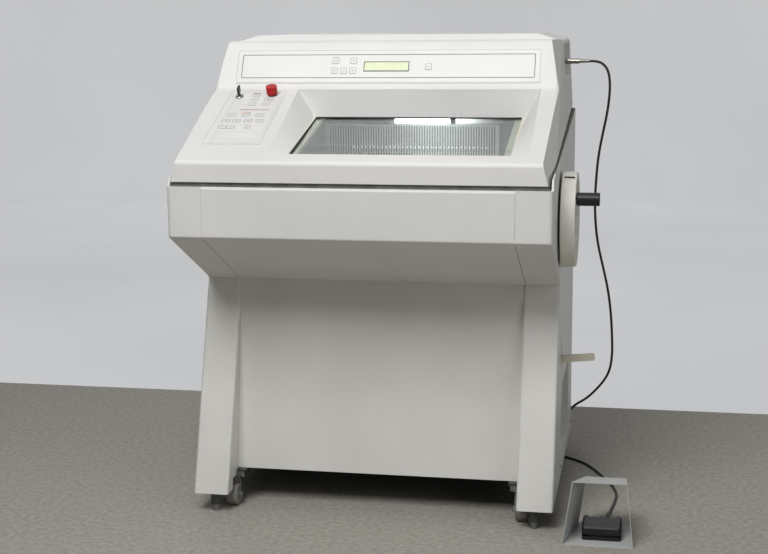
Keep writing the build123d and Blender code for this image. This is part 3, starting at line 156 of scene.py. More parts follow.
# %% Finishes of the floor and the backdrop
floor_finish = plain_finish("studio_vinyl", "#b0aba2", "#9b978e", 0.7, 12, 2, 60)
paper_finish, paper_tree, paper_shader = new_finish("backdrop_paper", "#c4c5c7", 0.8)
mottle(paper_tree, paper_shader, "#c7c8ca", "#bfc0c2", 1800, 3, 50)
paper_shade = paper_shader.inputs["Base Color"].links[0].from_socket
rays = add_node(paper_tree, "LightPath")
seen = rays.outputs["Is Camera Ray"]
for kind in ("Is Glossy Ray", "Is Transmission Ray"):
    either = add_node(paper_tree, "Math", {0: seen, 1: rays.outputs[kind]}, operation="MAXIMUM")
    seen = either.outputs[0]
plain_tone = add_node(paper_tree, "Emission", {"Color": paper_shade, "Strength": 1.0})
shaders = {0: seen, 1: paper_shader.outputs[0], 2: plain_tone.outputs[0]}
blend = add_node(paper_tree, "MixShader", shaders)
paper_output = paper_tree.nodes["Material Output"]
paper_tree.links.new(blend.outputs[0], paper_output.inputs["Surface"])
print("backdrop nodes", len(paper_tree.nodes))

# %% [markdown]
# Three planes are enough for the stage. The upright one stands far back, so that it doesn't
# hide the machine from a camera that goes round behind it.

# %% Floor and backdrop
stage_size = 14
floor_end = 0.75
upright_y, upright_middle = 5.6, 6


def stage_plane(name, place, turn, finish):
    """One wide flat piece of the stage."""
    bpy.ops.object.select_all(action="DESELECT")
    bpy.ops.mesh.primitive_plane_add(size=stage_size, location=place, rotation=(turn, 0, 0))
    plane = bpy.context.object
    plane.name = name
    bpy.ops.object.transform_apply(location=True, rotation=True, scale=True)
    plane.data.materials.append(finish)


stage_plane("studio_floor", (0, floor_end - stage_size / 2, 0), 0, floor_finish)
stage_plane("backdrop_flat", (0, floor_end + stage_size / 2, 0), 0, paper_finish)
stage_plane("backdrop_upright", (0, upright_y, upright_middle), math.pi / 2, paper_finish)
print("floor ends", floor_end, "m behind the middle")

# %% [markdown]
# Broad area lamps give the soft shadows of a room with a bounced flash. Their power is set so
# that a colour renders about as it is written, and the pale hood stays below white. A small
# lamp in the chamber helps the opal tube, whose own light would need many more samples.

# %% Lamps and world
lamps = [
    ("key_lamp", 1.6, 88, (-0.4, -2.5, 3.2), (0, 0, 0.8)),
    ("fill_lamp", 2.6, 26, (3.0, -2.2, 2.2), (0, 0.4, 0.8)),
    ("top_lamp", 2.4, 12, (0.3, -0.3, 3.6), (0, -0.1, 0.8)),
    ("rear_lamp", 2.0, 16, (-1.6, 3.4, 2.2), (0, 0.3, 0.6)),
    ("chamber_lamp", 0.12, 0.5, (0.077, -0.02, 0.840), (0.03, 0.17, 0.70)),
]
for name, width, watts, place, target in lamps:
    data = bpy.data.lights.new(name, "AREA")
    data.size, data.energy = width, watts
    lamp = bpy.data.objects.new(name, data)
    lamp.location = place
    facing = Vector(target) - Vector(place)
    lamp.rotation_euler = facing.to_track_quat("-Z", "Y").to_euler()
    bpy.context.scene.collection.objects.link(lamp)
world = bpy.data.worlds.new("studio_world")
world.use_nodes = True
sky = world.node_tree.nodes["Background"]
sky.inputs["Color"].default_value = colour("#e9ebee")
sky.inputs["Strength"].default_value = 0.1
bpy.context.scene.world = world
bpy.context.scene.view_settings.view_transform = "Standard"
print("lamps", len(lamps), "with", sum(lamp[2] for lamp in lamps), "W")

# %% [markdown]
# The foot switch's cord is a 6 mm rubber lead. It leaves the plug level, drops in a long slack
# curve behind the handwheel, goes round the cabinet's rear corner and runs over the floor to
# the switch. A NURBS curve with the route's points as control points gives a smooth line. Its
# order is set after the points, because a fresh spline would fall back to straight runs.

# %% Route of the cord, in millimetres
route = [
    (440, 240, 986),
    (458.5, 240, 986),
    (474.5, 241, 976.7),
    (483.8, 243, 960.7),
    (487.5, 246, 936),
    (487, 251, 905),
    (482, 257, 862),
    (472.5, 262, 815),
    (463, 268, 763),
    (458, 275, 705),
    (455.5, 282, 646),
    (458, 289, 588),
    (465, 296, 536),
    (478, 303, 481),
    (490, 311, 428),
    (498, 320, 370),
    (502, 329, 312),
    (504, 340, 252),
    (497, 352, 203),
    (474, 371, 163),
    (440, 397, 121),
    (407, 416, 97),
    (388, 430, 70),
    (383, 436, 38),
    (384, 420, 12),
    (384, 386, 3),
    (376, 350, 3),
    (374, 314, 3),
    (381, 281, 3),
    (402, 257, 3),
    (430, 238, 3),
    (455, 205, 3),
    (475, 164, 3),
    (492, 122, 3),
    (509, 82, 3),
    (522, 42, 3),
    (529, 0, 3),
    (527, -40, 3),
    (523, -79, 3),
    (519, -110, 3),
    (516, -140, 6),
    (514, -170, 14),
    (513.5, -197, 17),
    (513.5, -222, 17),
]
print("cord points", len(route))

# %% Foot switch cord
cord_radius = 0.003
cord_curve = bpy.data.curves.new("foot_switch_lead", "CURVE")
cord_curve.dimensions = "3D"
cord_curve.resolution_u = 10
cord_curve.bevel_depth = cord_radius
cord_curve.bevel_resolution = 5
cord_curve.use_fill_caps = True
spline = cord_curve.splines.new("NURBS")
spline.points.add(len(route) - 1)
for point, (x, y, z) in zip(spline.points, route):
    point.co = (x / 1000, y / 1000, z / 1000, 1)
spline.order_u = 3
spline.use_endpoint_u = True
cord = bpy.data.objects.new("foot_switch_lead", cord_curve)
bpy.context.scene.collection.objects.link(cord)
jacket = plain_finish("rubber_lead_jacket", "#29292b", "#1d1d1f", 0.55, 60, 0.8, 25)
cord_curve.materials.append(jacket)
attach(cord, "cabinet")
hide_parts("foot_switch_cord")
print("cord order", spline.order_u)

# %% [markdown]
# The cabinet's skin is of two kinds. Sheet steel is powder coated: the powder melts to a film
# with a fine orange peel, satin and slightly grey. The hood, the armrest and the handwheel are
# moulded with a spark-eroded texture, a little warmer, softer at the edges and more matt. Each
# line gives two shades, the roughness, the clouds' and the grain's size, and the relief.

# %% Finishes of the cabinet's skin
powder_coat = plain_finish("powder_coated_steel", "#e0dfda", "#d8d7d2", 0.42, 220, 1.6, 60)
moulded_abs = plain_finish("textured_abs_moulding", "#e9e8e5", "#e3e2df", 0.48, 260, 1.1, 70)
# The armrest gets the hood's moulding a shade darker: this is painted shade of its front face.
armrest_abs_shaded = plain_finish("textured_abs_armrest_painted_shade", "#e4e4e1", "#dddddb", 0.46, 240, 1.1, 70)
wheel_resin = plain_finish("cast_polyurethane_wheel", "#e3e1d8", "#d9d7cd", 0.45, 120, 1.4, 80)
ivory_abs = plain_finish("ivory_moulded_handle", "#dfdccb", "#d2cebb", 0.4, 60, 1.0, 50)
black_abs = plain_finish("black_moulded_abs", "#1b1b1d", "#121214", 0.42, 40, 0.9, 60)
seal_rubber = plain_finish("nitrile_seal", "#7c8076", "#676b62", 0.7, 30, 0.8, 60)
print("finishes", len(bpy.data.materials))

# %% [markdown]
# Brushed stainless sheet lines the chamber. The belt leaves fine scratches along one direction,
# so the grain is a noise stretched along X, and it also varies the roughness a little. Without
# that, the sheet would look like chrome.

# %% Brushed stainless
stainless, stainless_tree, stainless_shader = new_finish(
    "brushed_stainless", "#c9cbcb", 0.32, Metallic=1.0
)
along_x = (0.03, 1, 1)
scratches = mottle(
    stainless_tree, stainless_shader, "#cfd1d1", "#c0c3c4", 120, 1.2, 30, along_x
)
rough_range = add_node(
    stainless_tree,
    "MapRange",
    {"Value": scratches.outputs["Fac"], "To Min": 0.26, "To Max": 0.4},
)
stainless_tree.links.new(rough_range.outputs[0], stainless_shader.inputs["Roughness"])
print("stainless nodes", len(stainless_tree.nodes))

# %% [markdown]
# The other metals follow. Turned steel is smooth, zinc-plated forks are duller with a faint
# bloom, and fins are plain rolled sheet. Iron and steel that only carry load are painted: the
# frame and the compressor black or nearly so, and the microtome's casting a hammered grey.

# %% Finishes of the other metals
metal = {"Metallic": 1.0}
turned_steel = plain_finish("turned_tool_steel", "#b9bbbd", "#a9abad", 0.28, 30, 0.8, 20, **metal)
zinc_plate = plain_finish("zinc_plated_steel", "#a5a6a4", "#8b8c8b", 0.45, 14, 1.0, 40, **metal)
nickel_plate = plain_finish(
    "nickel_plated_brass", "#b4b1a8", "#a09d94", 0.25, 20, 0.8, 15, **metal
)
fin_metal = plain_finish("mill_aluminium", "#d4d6d8", "#c3c6c8", 0.38, 40, 1.0, 30, **metal)
frame_paint = plain_finish("stoved_frame_enamel", "#3b3d3f", "#2f3133", 0.5, 80, 1.5, 60)
casting_enamel = plain_finish("hammered_grey_enamel", "#9ca1a1", "#8f9494", 0.4, 50, 3.0, 160)
compressor_enamel = plain_finish("black_stove_enamel", "#1a1b1c", "#101112", 0.35, 60, 2.0, 60)
guard_coat = plain_finish("grey_powder_coat", "#c4c6c3", "#b8bab7", 0.45, 90, 1.6, 70)
coil_coat = plain_finish("black_epoxy_coil_coat", "#15171a", "#0f1113", 0.8, 40, 1.2, 60)
print("finishes", len(bpy.data.materials))

# %% [markdown]
# The pane is toughened float glass, clear with a slight green. The lamp is an opal tube that
# lights the chamber. Its glow is a little uneven, so the emission has its own two shades.

# %% Glass and lamp
pane_glass = new_finish(
    "toughened_float_glass", "#f2faf8", 0.02, Transmission_Weight=1.0, IOR=1.45
)[0]
opal_tube, tube_tree, tube_shader = new_finish(
    "opal_lamp_tube", "#fffdf4", 0.3, Emission_Strength=12.0
)
glow_place = add_node(tube_tree, "TexCoord").outputs["Object"]
glow_patches = add_node(tube_tree, "TexNoise", {"Vector": glow_place, "Scale": per_metre(40)})
glow_shades = add_node(tube_tree, "ValToRGB", {"Fac": glow_patches.outputs["Fac"]})
glow_shades.color_ramp.elements[0].color = colour("#f4fbff")
glow_shades.color_ramp.elements[1].color = colour("#ffffff")
tube_tree.links.new(glow_shades.outputs["Color"], tube_shader.inputs["Emission Color"])
print("lamp nodes", len(tube_tree.nodes))

# %% [markdown]
# The displays and plates are printed polyester film, which is satin with hardly any grain. The
# remaining plastics differ mostly in shade and gloss: a glossy red knob, a milky bottle, dull
# wheels, a polished clear plate and the chamber's foam.

# %% Films and plastics
overlay_film = plain_finish("matt_polyester_film", "#e9e8e4", "#e3e2de", 0.38, 150, 0.8, 12)
key_film = plain_finish("embossed_key_film", "#e6e6e3", "#dededb", 0.36, 40, 0.8, 12)
display_film = plain_finish("liquid_crystal_window", "#d3dcae", "#c8d2a0", 0.22, 30, 0.8, 4)
stop_red = plain_finish("red_moulded_knob", "#c81410", "#b0100d", 0.3, 20, 0.8, 20)
bottle_resin = plain_finish("milky_polyethylene", "#e6e8e2", "#dcdfd8", 0.4, 60, 1.2, 40)
tread_resin = plain_finish("worn_nylon_wheel", "#8f8d86", "#75736c", 0.6, 12, 1.0, 120)
clear_plate = plain_finish("polished_acrylic", "#cfd8da", "#c5cfd2", 0.1, 60, 1.0, 4)
foam_finish = plain_finish("rigid_foam", "#d8caa0", "#c9bb91", 0.85, 25, 3.0, 300)
print("finishes", len(bpy.data.materials))

# %% [markdown]
# Each CAD node now gets its finish. A dictionary keeps the pairs together, finish by finish,
# so that one loop can dress the whole machine and a missing node is noticed at once. Only the
# cord's node is left, because the curve above stands for it.

# %% Dress the CAD nodes
dressed = {
    powder_coat: [
        "side_panel_left",
        "side_panel_right",
        "front_panel",
        "rear_panel",
        "bottle_bay",
    ],
    moulded_abs: ["hood", "top_cover"],
    armrest_abs_shaded: ["armrest_center", "armrest_end_left", "armrest_end_right"],
    wheel_resin: ["handwheel"],
    ivory_abs: ["drain_lever", "window_rails"],
    black_abs: [
        "handwheel_grip",
        "switch_key",
        "emergency_stop_collar",
        "fan_rotor",
        "foot_switch_base",
        "foot_pedal",
        "clamp_lever",
    ],
    seal_rubber: ["hood_gasket"],
    stainless: ["chamber_tub", "chamber_ceiling", "evaporator_cover"],
    turned_steel: [
        "specimen_carriage",
        "specimen_holder",
        "knife_holder",
        "microtome_blade",
        "main_shaft",
        "shaft_bearing",
        "drain_valve",
    ],
    zinc_plate: [
        "caster_mounts",
        "caster_fork_left",
        "caster_fork_right",
        "leveling_foot_left",
        "leveling_foot_right",
    ],
    nickel_plate: ["key_switch", "side_socket", "cord_plug"],
    fin_metal: ["condenser"],
    coil_coat: ["evaporator"],
    frame_paint: ["base_frame"],
    casting_enamel: ["microtome_housing"],
    compressor_enamel: ["compressor"],
    guard_coat: ["switch_guard"],
    pane_glass: ["window_pane"],
    opal_tube: ["lamp_tube"],
    overlay_film: ["upper_control_plate", "side_control_plate"],
    key_film: ["key_pads"],
    display_film: ["display_window"],
    stop_red: ["emergency_stop_button"],
    bottle_resin: ["condensate_bottle"],
    tread_resin: ["front_wheel_left", "front_wheel_right", "rear_wheel_left", "rear_wheel_right"],
    clear_plate: ["anti_roll_plate"],
    foam_finish: ["chamber_insulation"],
}
for finish, names in dressed.items():
    for name in names:
        nodes[name].data.materials.clear()
        nodes[name].data.materials.append(finish)
done = {name for names in dressed.values() for name in names}
print("dressed", len(done), "left", sorted(set(nodes) - done))

# %% [markdown]
# The plates' print comes next: thin frames round the plates and round each key. Each frame is
# a flat plate with its corners rounded by a vertex bevel, inset once, and its middle deleted.
# What is left is drawn out by a tenth of a millimetre, like a screen-printed film of ink. The
# prints lie on two planes that meet at the hood's brow: the slope and the upper front.

# %% Inks and the planes they lie on
ink_slate = plain_finish("slate_screen_ink", "#46565c", "#3d4c52", 0.4, 30, 0.8, 4)
ink_grey = plain_finish("grey_screen_ink", "#b9bdb9", "#aeb2ae", 0.4, 30, 0.8, 4)
ink_red = plain_finish("dark_red_screen_ink", "#9a3b4e", "#8c3245", 0.4, 30, 0.8, 4)
ink_orange = plain_finish("orange_screen_ink", "#e6a64c", "#dc9a40", 0.4, 30, 0.8, 4)
ink_green = plain_finish("green_screen_ink", "#3fa88c", "#379c80", 0.4, 30, 0.8, 4)
brow = Vector((0, -0.065, 0.935))
slope_rise, slope_run = 0.133, 0.316
upper_rise, upper_run = 0.105, 0.055
slope_turn = math.atan2(slope_rise, slope_run)
upper_turn = math.atan2(upper_rise, upper_run)
on_slope = Matrix.Translation(brow) @ Matrix.Rotation(slope_turn, 4, "X")
on_upper = Matrix.Translation(brow) @ Matrix.Rotation(upper_turn, 4, "X")
print("slope", round(math.degrees(slope_turn), 1), "upper", round(math.degrees(upper_turn), 1))

# %% Frames round the plates and the display
plate_top = 0.0015
ink_height = 0.00015


def flat_shape(
    name, place, centre, size, finish, corner=0, line=0, lift=plate_top, height=ink_height
):
    """A rounded plate, or a rounded frame when it has a line width, laid on a plane."""
    bpy.ops.object.select_all(action="DESELECT")
    bpy.ops.mesh.primitive_plane_add(size=1, location=(0, 0, 0))
    shape = bpy.context.object
    shape.name = name
    shape.scale = (size[0], size[1], 1)
    bpy.ops.object.transform_apply(location=True, rotation=True, scale=True)
    bpy.ops.object.mode_set(mode="EDIT")
    bpy.ops.mesh.select_all(action="SELECT")
    if corner:
        bpy.ops.mesh.bevel(offset=corner, segments=5, affect="VERTICES")
        bpy.ops.mesh.select_all(action="SELECT")
    if line:
        bpy.ops.mesh.inset(thickness=line)
        bpy.ops.mesh.delete(type="FACE")
        bpy.ops.mesh.select_all(action="SELECT")
    bpy.ops.mesh.extrude_region_move(TRANSFORM_OT_translate={"value": (0, 0, height)})
    bpy.ops.mesh.select_all(action="SELECT")
    bpy.ops.mesh.normals_make_consistent(inside=False)
    bpy.ops.object.mode_set(mode="OBJECT")
    shape.matrix_world = place @ Matrix.Translation((centre[0], centre[1], lift))
    bpy.ops.object.transform_apply(location=True, rotation=True, scale=True)
    shape.data.materials.append(finish)
    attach(shape, "cabinet")
    return shape


plate_frames = [
    ("plate_outer_line", on_upper, (0.0025, 0.055), (0.686, 0.079), ink_grey, 0.004, 0.0010),
    ("plate_inner_line", on_upper, (0.0025, 0.055), (0.664, 0.058), ink_slate, 0.003, 0.0016),
    ("side_outer_line", on_slope, (-0.28, -0.1395), (0.126, 0.255), ink_grey, 0.003, 0.0008),
    ("side_inner_line", on_slope, (-0.274, -0.1395), (0.104, 0.240), ink_grey, 0.002, 0.0006),
]
for plate_frame in plate_frames:
    flat_shape(*plate_frame)
flat_shape(
    "display_border",
    on_upper,
    (0.0035, 0.054),
    (0.103, 0.024),
    ink_slate,
    corner=0.001,
    line=0.0017,
    height=0.0009,
)
print("frames", len(plate_frames) + 1)

# %% [markdown]
# The keys are embossed pads under the film. Each has a thin printed frame and a small plain
# stroke for a symbol, because the real print says only what each key does. The places are
# millimetres on the two planes: across from the middle, and up or down from the brow.

# %% Frames and symbols of the keys
key_top = 0.0023
key_corner = 0.0018
upper_keys = [(-113, 69), (-72, 68), (-114, 43.5), (-93, 43.5), (-72, 43.5), (98.5, 53)]
side_rows = [
    (-37, (-280,)),
    (-59, (-280, -248)),
    (-82, (-280, -248)),
    (-134, (-312, -280, -249)),
    (-162, (-318, -294, -268, -242)),
    (-193, (-318, -299)),
]


def key_print(frame_name, mark_name, place, x, v, frame_size, line, mark_size):
    """The frame and the symbol of one key."""
    centre = (x / 1000, v / 1000)
    flat_shape(frame_name, place, centre, frame_size, ink_slate, key_corner, line, key_top)
    flat_shape(mark_name, place, centre, mark_size, ink_slate, lift=key_top)


for index, (x, v) in enumerate(upper_keys):
    names = f"upper_key_frame_{index}", f"upper_key_mark_{index}"
    key_print(*names, on_upper, x, v, (0.0145, 0.0145), 0.0007, (0.0055, 0.001))
for v, places in side_rows:
    for x in places:
        names = f"side_key_{-x}_{-v}_frame", f"side_key_{-x}_{-v}_mark"
        key_print(*names, on_slope, x, v, (0.0175, 0.0135), 0.0006, (0.005, 0.001))
print("keys", len(upper_keys) + sum(len(places) for v, places in side_rows))

# %% [markdown]
# A few coloured strokes group the keys of the side plate, and an empty frame is left where a
# label could go. They are the same flat shapes without an inset.

# %% Coloured marks and the blank label
marks = [
    ("red_heading", (-268, -108), (66, 2.2), ink_red),
    ("red_tag", (-282, -27), (16, 2.0), ink_red),
    ("orange_tag_rear", (-282, -122), (17, 2.2), ink_orange),
    ("orange_tag_front", (-262, -184), (17, 2.2), ink_orange),
    ("green_tag", (-263, -195), (15, 2.2), ink_green),
]
for name, (x, v), (wide, deep), ink in marks:
    flat_shape(name, on_slope, (x / 1000, v / 1000), (wide / 1000, deep / 1000), ink)
flat_shape(
    "blank_label_frame", on_slope, (-0.274, -0.230), (0.090, 0.034), ink_grey, 0.002, 0.0005
)
print("marks", len(marks))

# %% [markdown]
# A black strip runs along three edges of the window's opening and shows as a dark outline. It
# stands both for a wiper seal and for the shade in the gap between the hood and the pane, so it
# is partly painted shade.
# It is fixed to the hood and clears the pane by some tenths of a millimetre, so the pane can
# slide under it. Each run is a block between two points on the pane's plane, with soft edges.

# %% Wiper seal of the window, partly painted shade
pane_turn = math.radians(13.4)
on_pane = Matrix.Translation((0, -0.064, 0.870)) @ Matrix.Rotation(pane_turn, 4, "X")
# This black is partly the seal's own colour and partly painted shade of the gap at the pane's
# edge.
seal_and_gap_shade = plain_finish("black_seal_and_gap_shade", "#1c1e1f", "#131415", 0.6, 20, 0.8, 20)


def plane_bar(name, place, start, end, wide, heights, finish, soft=0.0004):
    """A bar with bevelled edges between two points of a plane, over a range of heights."""
    low, high = heights
    along = Vector(end) - Vector(start)
    middle = (Vector(start) + Vector(end)) / 2
    bpy.ops.object.select_all(action="DESELECT")
    bpy.ops.mesh.primitive_cube_add(size=1, location=(0, 0, 0))
    bar = bpy.context.object
    bar.name = name
    bar.scale = (along.length, wide, high - low)
    bpy.ops.object.transform_apply(location=True, rotation=True, scale=True)
    bpy.ops.object.mode_set(mode="EDIT")
    bpy.ops.mesh.select_all(action="SELECT")
    bpy.ops.mesh.bevel(offset=soft, segments=2, affect="EDGES")
    bpy.ops.object.mode_set(mode="OBJECT")
    turn = Matrix.Rotation(math.atan2(along.y, along.x), 4, "Z")
    bar.matrix_world = place @ Matrix.Translation((middle.x, middle.y, (low + high) / 2)) @ turn
    bpy.ops.object.transform_apply(location=True, rotation=True, scale=True)
    bar.data.materials.append(finish)
    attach(bar, "cabinet")
    return bar


seal_and_shade_heights = (0.0004, 0.0024)
seal_and_shade_runs = [
    ("wiper_and_shade_left", (-0.1545, -0.002), (-0.1500, -0.257), 0.004),
    ("wiper_and_shade_rear", (-0.155, -0.0005), (0.314, -0.0005), 0.005),
    ("wiper_and_shade_front", (-0.150, -0.2585), (0.305, -0.2585), 0.003),
]
for name, start, end, wide in seal_and_shade_runs:
    plane_bar(name, on_pane, start, end, wide, seal_and_shade_heights, seal_and_gap_shade)
print("seal and shade runs", len(seal_and_shade_runs))

# %% [markdown]
# The armrest's three mouldings meet in fine dark joints. Each is a hair-thin strip laid flush
# on the front face and on the sloping underside, where the two mouldings touch.

# %% Joints of the armrest
joint_shadow = plain_finish("dark_joint_line", "#55564f", "#4a4b45", 0.7, 20, 0.8, 20)
front_y, lower_edge = -0.383, 0.643
under_drop, under_run = -0.131, 0.263
joint_x, joint_wide, joint_thin = 0.325, 0.0009, 0.00003
on_front = Matrix.Translation((0, front_y, 0)) @ Matrix.Rotation(math.pi / 2, 4, "X")
under_turn = math.pi + math.atan2(under_drop, under_run)
on_underside = Matrix.Translation((0, front_y, lower_edge)) @ Matrix.Rotation(under_turn, 4, "X")
joint_runs = [
    ("front_joint", on_front, 0.697, 0.094, -joint_thin),
    ("under_joint", on_underside, -0.147, 0.278, 0),
]
for side in (-1, 1):
    for name, place, middle, long, lift in joint_runs:
        flat_shape(
            f"{name}_{side}",
            place,
            (side * joint_x, middle),
            (joint_wide, long),
            joint_shadow,
            lift=lift,
            height=joint_thin,
        )
print("joint strips", 2 * len(joint_runs))

# %% [markdown]
# Behind the pane, the evaporator's cover is satin anodised sheet with rows of upright slots.
# Cutting more than a hundred slots one by one would be slow. Instead the sheet starts as a
# grid, whose cells become slots or bars. The grid comes with even rows, so its lines are first
# moved to where the slots begin and end. Choosing vertices or faces takes the same steps each
# time, so a helper does that.

# %% Grid of the evaporator's cover
cover_satin = plain_finish(
    "satin_anodised_sheet", "#b9bcba", "#aeb1af", 0.5, 90, 1.0, 20, Metallic=0.25
)
cover_wide, cover_high, cover_deep = 0.415, 0.242, 0.0299
cover_sheet = 0.0015
cover_middle = (0.0295, 0.138, 0.717)
on_cover = Matrix.Translation(cover_middle) @ Matrix.Rotation(math.pi / 2, 4, "X")
columns = 135
grid_lines = [0.0, 0.020, 0.040, 0.057, 0.2395, 0.242]
rows = len(grid_lines) - 1


def pick(piece, parts, test):
    """Go to edit mode with only those vertices or faces selected that pass a test."""
    bpy.ops.object.mode_set(mode="EDIT")
    bpy.ops.mesh.select_all(action="DESELECT")
    bpy.ops.object.mode_set(mode="OBJECT")
    for part in getattr(piece.data, parts):
        part.select = test(part)
    bpy.ops.object.mode_set(mode="EDIT")


bpy.ops.object.select_all(action="DESELECT")
bpy.ops.mesh.primitive_grid_add(
    x_subdivisions=columns, y_subdivisions=rows, size=1, location=(0, 0, 0)
)
cover = bpy.context.object
cover.name = "slotted_cover"
cover.scale = (cover_wide, cover_high, 1)
bpy.ops.object.transform_apply(location=True, rotation=True, scale=True)
for line in range(1, rows):
    shift = grid_lines[line] - line * cover_high / rows
    pick(cover, "vertices", lambda vertex: vertex.index // (columns + 1) == line)
    bpy.ops.transform.translate(value=(0, shift, 0))
    bpy.ops.object.mode_set(mode="OBJECT")
print("grid cells", len(cover.data.polygons))

# %% [markdown]
# Every second cell of two rows is deleted, apart from a plain margin at both ends, and the rest
# is drawn out to sheet thickness. Face mode matters here: in vertex mode a cell between two
# chosen ones would count as chosen too, and the bars would go with the slots.

# %% Slots and sheet thickness
slotted_rows = (1, 3)
plain_columns = 3


def is_slot(face):
    """Whether a cell of the grid becomes a slot."""
    row, column = divmod(face.index, columns)
    inside = plain_columns <= column < columns - plain_columns
    return inside and column % 2 == 1 and row in slotted_rows


bpy.ops.object.mode_set(mode="EDIT")
bpy.ops.mesh.select_mode(type="FACE")
bpy.ops.object.mode_set(mode="OBJECT")
pick(cover, "polygons", is_slot)
bpy.ops.mesh.delete(type="FACE")
bpy.ops.mesh.select_all(action="SELECT")
bpy.ops.mesh.extrude_region_move(TRANSFORM_OT_translate={"value": (0, 0, -cover_sheet)})
bpy.ops.mesh.select_all(action="SELECT")
bpy.ops.mesh.normals_make_consistent(inside=False)
bpy.ops.mesh.select_mode(type="VERT")
bpy.ops.object.mode_set(mode="OBJECT")
cover.matrix_world = on_cover
bpy.ops.object.transform_apply(location=True, rotation=True, scale=True)
cover.data.materials.append(cover_satin)
print("face of the cover", len(cover.data.polygons), "faces")

# %% [markdown]
# A folded rim holds the cover off the chamber's wall. It is a flat frame drawn out to the rim's
# depth, and it is joined to the face, because the two are one sheet.

# %% Rim of the cover
rim = flat_shape(
    "cover_rim",
    on_cover,
    (0, 0),
    (cover_wide, cover_high),
    cover_satin,
    line=cover_sheet,
    lift=-cover_deep,
    height=cover_deep - cover_sheet,
)
bpy.ops.object.select_all(action="DESELECT")
rim.select_set(True)
cover.select_set(True)
bpy.context.view_layer.objects.active = cover
bpy.ops.object.join()
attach(cover, "cabinet")
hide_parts("evaporator_cover")
print("cover faces", len(cover.data.polygons))

# %% [markdown]
# A black sheet lies behind the slots and in front of the coil, so that the slots read as
# fine dark lines: it is painted shade, standing for the dark depth behind the slots. It is a
# plain flat shape, a little smaller than the cover.

# %% Black sheet of painted shade behind the slots
# Painted shade: a black sheet put where the slots show only the shade behind them.
slot_shade_black = plain_finish("black_painted_slot_shade", "#1a1c1e", "#121416", 0.85, 12, 1.5, 200)
shade_sheet_gap, shade_sheet_back, shade_sheet_thick = 0.006, 0.0042, 0.0015
flat_shape(
    "slot_shade_sheet",
    on_cover,
    (0, 0),
    (cover_wide - shade_sheet_gap, cover_high - shade_sheet_gap),
    slot_shade_black,
    lift=-shade_sheet_back,
    height=shade_sheet_thick,
)
print("shade sheet lies", round((shade_sheet_back - shade_sheet_thick) * 1000, 1), "mm behind the cover's face")

# %% [markdown]
# A row of white clips holds the cover's defrost wire. The clips glow a little by emission:
# a painted highlight for a row of bright dots along the cover, though they are no lamp. Each
# clip is a short eight-sided stud with a bevelled rim. The same stud serves all the small
# hardware after it, with another number of sides: six make a nut, and twelve or more make a
# screw head.


# %% Clips of the cover, with a painted glow
def stud(name, centre, direction, radius, length, finish, body="cabinet", sides=8, soft=0.25):
    """A short round stud with a bevelled rim, standing on a point along a direction."""
    bpy.ops.object.select_all(action="DESELECT")
    bpy.ops.mesh.primitive_cylinder_add(
        vertices=sides, radius=radius, depth=length, location=(0, 0, 0)
    )
    piece = bpy.context.object
    piece.name = name
    pick(piece, "polygons", lambda face: face.normal.z > 0.9)
    bpy.ops.mesh.bevel(offset=soft * min(radius, length), segments=2, affect="EDGES")
    bpy.ops.object.mode_set(mode="OBJECT")
    facing = Vector(direction).normalized()
    aim = facing.to_track_quat("Z", "Y").to_matrix().to_4x4()
    piece.matrix_world = Matrix.Translation(Vector(centre) + facing * length / 2) @ aim
    bpy.ops.object.transform_apply(location=True, rotation=True, scale=True)
    bpy.ops.object.shade_smooth_by_angle(angle=math.radians(35))
    piece.data.materials.append(finish)
    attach(piece, body)


# The clips' emission is painted light: it makes them glow as bright dots without a lamp.
glowing_clip_finish = plain_finish(
    "white_clip_painted_glow", "#fbfcfa", "#f2f4f1", 0.3, 10, 0.8, 10, Emission_Strength=0.6
)
clip_count, clip_pitch = 33, 0.00997
clip_middle, clip_y, clip_z = 0.0475, cover_middle[1], 0.785
clip_radius, clip_length = 0.0014, 0.002
for index in range(clip_count):
    clip_x = clip_middle + (index - (clip_count - 1) / 2) * clip_pitch
    clip_place = (clip_x, clip_y, clip_z)
    stud(f"cover_clip_{index}", clip_place, (0, -1, 0), clip_radius, clip_length, glowing_clip_finish)
print("clips", clip_count)

# %% [markdown]
# Dark sleeves hide the threads of the screw feet. A sleeve has to be open, because the foot
# turns up through it: a pipe without end caps gets a wall by solidify, and its rims are
# bevelled a little.

# %% Sleeves of the feet
sleeve_dark = plain_finish("dark_moulded_sleeve", "#4c4d4c", "#3f403f", 0.5, 20, 0.9, 40)
foot_x, foot_y = 0.358, -0.243
sleeve_radius, sleeve_wall = 0.0116, 0.0005
sleeve_bottom, sleeve_length = 0.0153, 0.0315
for side in (-1, 1):
    bpy.ops.object.select_all(action="DESELECT")
    bpy.ops.mesh.primitive_cylinder_add(
        vertices=32,
        radius=sleeve_radius,
        depth=sleeve_length,
        end_fill_type="NOTHING",
        location=(0, 0, 0),
    )
    sleeve = bpy.context.object
    sleeve.name = f"foot_sleeve_{side}"
    sleeve.modifiers.new("wall", "SOLIDIFY").thickness = sleeve_wall
    bpy.ops.object.modifier_apply(modifier="wall")
    pick(sleeve, "polygons", lambda face: abs(face.normal.z) > 0.9)
    bpy.ops.mesh.region_to_loop()
    bpy.ops.mesh.bevel(offset=0.0001, segments=2, affect="EDGES")
    bpy.ops.object.mode_set(mode="OBJECT")
    sleeve.location = (side * foot_x, foot_y, sleeve_bottom + sleeve_length / 2)
    bpy.ops.object.transform_apply(location=True, rotation=True, scale=True)
    bpy.ops.object.shade_smooth_by_angle(angle=math.radians(35))
    sleeve.data.materials.append(sleeve_dark)
    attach(sleeve, "cabinet")
print("sleeve faces", len(sleeve.data.polygons))

# %% [markdown]
# Nuts close both ends of each caster's axle. The front ones turn with their forks, so they ride
# those bodies. The rear casters are fixed to the cabinet.

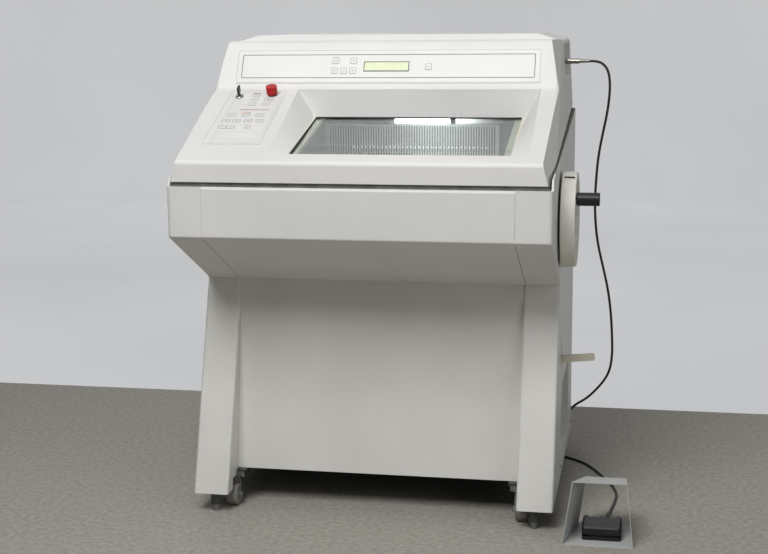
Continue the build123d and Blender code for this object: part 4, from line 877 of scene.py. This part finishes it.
# %% Axle nuts
caster_x, front_axle_y, rear_axle_y, axle_z = 0.328, -0.200, 0.300, 0.025
nut_offset, nut_radius, nut_length = 0.0161, 0.0065, 0.0042
axles = [
    ("front_left", "front_fork_left", -caster_x, front_axle_y),
    ("front_right", "front_fork_right", caster_x, front_axle_y),
    ("rear_left", "cabinet", -caster_x, rear_axle_y),
    ("rear_right", "cabinet", caster_x, rear_axle_y),
]
for tag, body, x, y in axles:
    for side in (-1, 1):
        nut_place = (x + side * nut_offset, y, axle_z)
        stud(
            f"axle_nut_{tag}_{side}",
            nut_place,
            (side, 0, 0),
            nut_radius,
            nut_length,
            zinc_plate,
            body,
            sides=6,
            soft=0.15,
        )
print("nuts", 2 * len(axles))

# %% [markdown]
# The handwheel is held by a screw in its hub and has a spring clip on its rim. Both ride the
# wheel's body and turn with it.

# %% Hub screw and rim clip
hub_face, rim_middle, wheel_y, wheel_z = 0.4331, 0.421, -0.150, 0.663
stud(
    "hub_screw",
    (hub_face, wheel_y, wheel_z),
    (1, 0, 0),
    0.009,
    0.0028,
    turned_steel,
    "handwheel_body",
    sides=24,
)
clip_turn = Matrix.Rotation(math.radians(24), 4, "X")
on_rim = Matrix.Translation((rim_middle, wheel_y, wheel_z)) @ clip_turn
clip_heights = (0.1020, 0.1042)
rim_clip = plane_bar(
    "rim_clip", on_rim, (-0.011, 0), (0.011, 0), 0.004, clip_heights, black_abs, 0.0005
)
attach(rim_clip, "handwheel_body")
print("rim clip faces", len(rim_clip.data.polygons))

# %% [markdown]
# Pan-head screws hold the rear panel and the edges of the service side, which is the right
# one. A small red mark on the pedal's side shows which way the switch faces.

# %% Panel screws and pedal mark
rear_face, right_face = 0.383, 0.4
screw_radius, screw_length = 0.0042, 0.0018


def panel_screw(name, place, direction):
    """A zinc-plated screw head on a panel."""
    stud(name, place, direction, screw_radius, screw_length, zinc_plate, sides=12)


for x in (-0.385, -0.2, 0.0, 0.2, 0.385):
    for z in (0.07, 0.45, 0.80):
        panel_screw(f"rear_screw_{x}_{z}", (x, rear_face, z), (0, 1, 0))
for y in (-0.02, 0.36):
    for z in (0.07, 0.70):
        panel_screw(f"side_screw_right_{y}_{z}", (right_face, y, z), (1, 0, 0))
mark_red = plain_finish("red_switch_mark", "#b3201c", "#9c1a17", 0.35, 10, 0.8, 10)
mark_place, mark_radius, mark_height = (0.545, -0.262, 0.0235), 0.0035, 0.0006
stud(
    "switch_mark", mark_place, (1, 0, 0), mark_radius, mark_height, mark_red, "pedal", sides=12
)
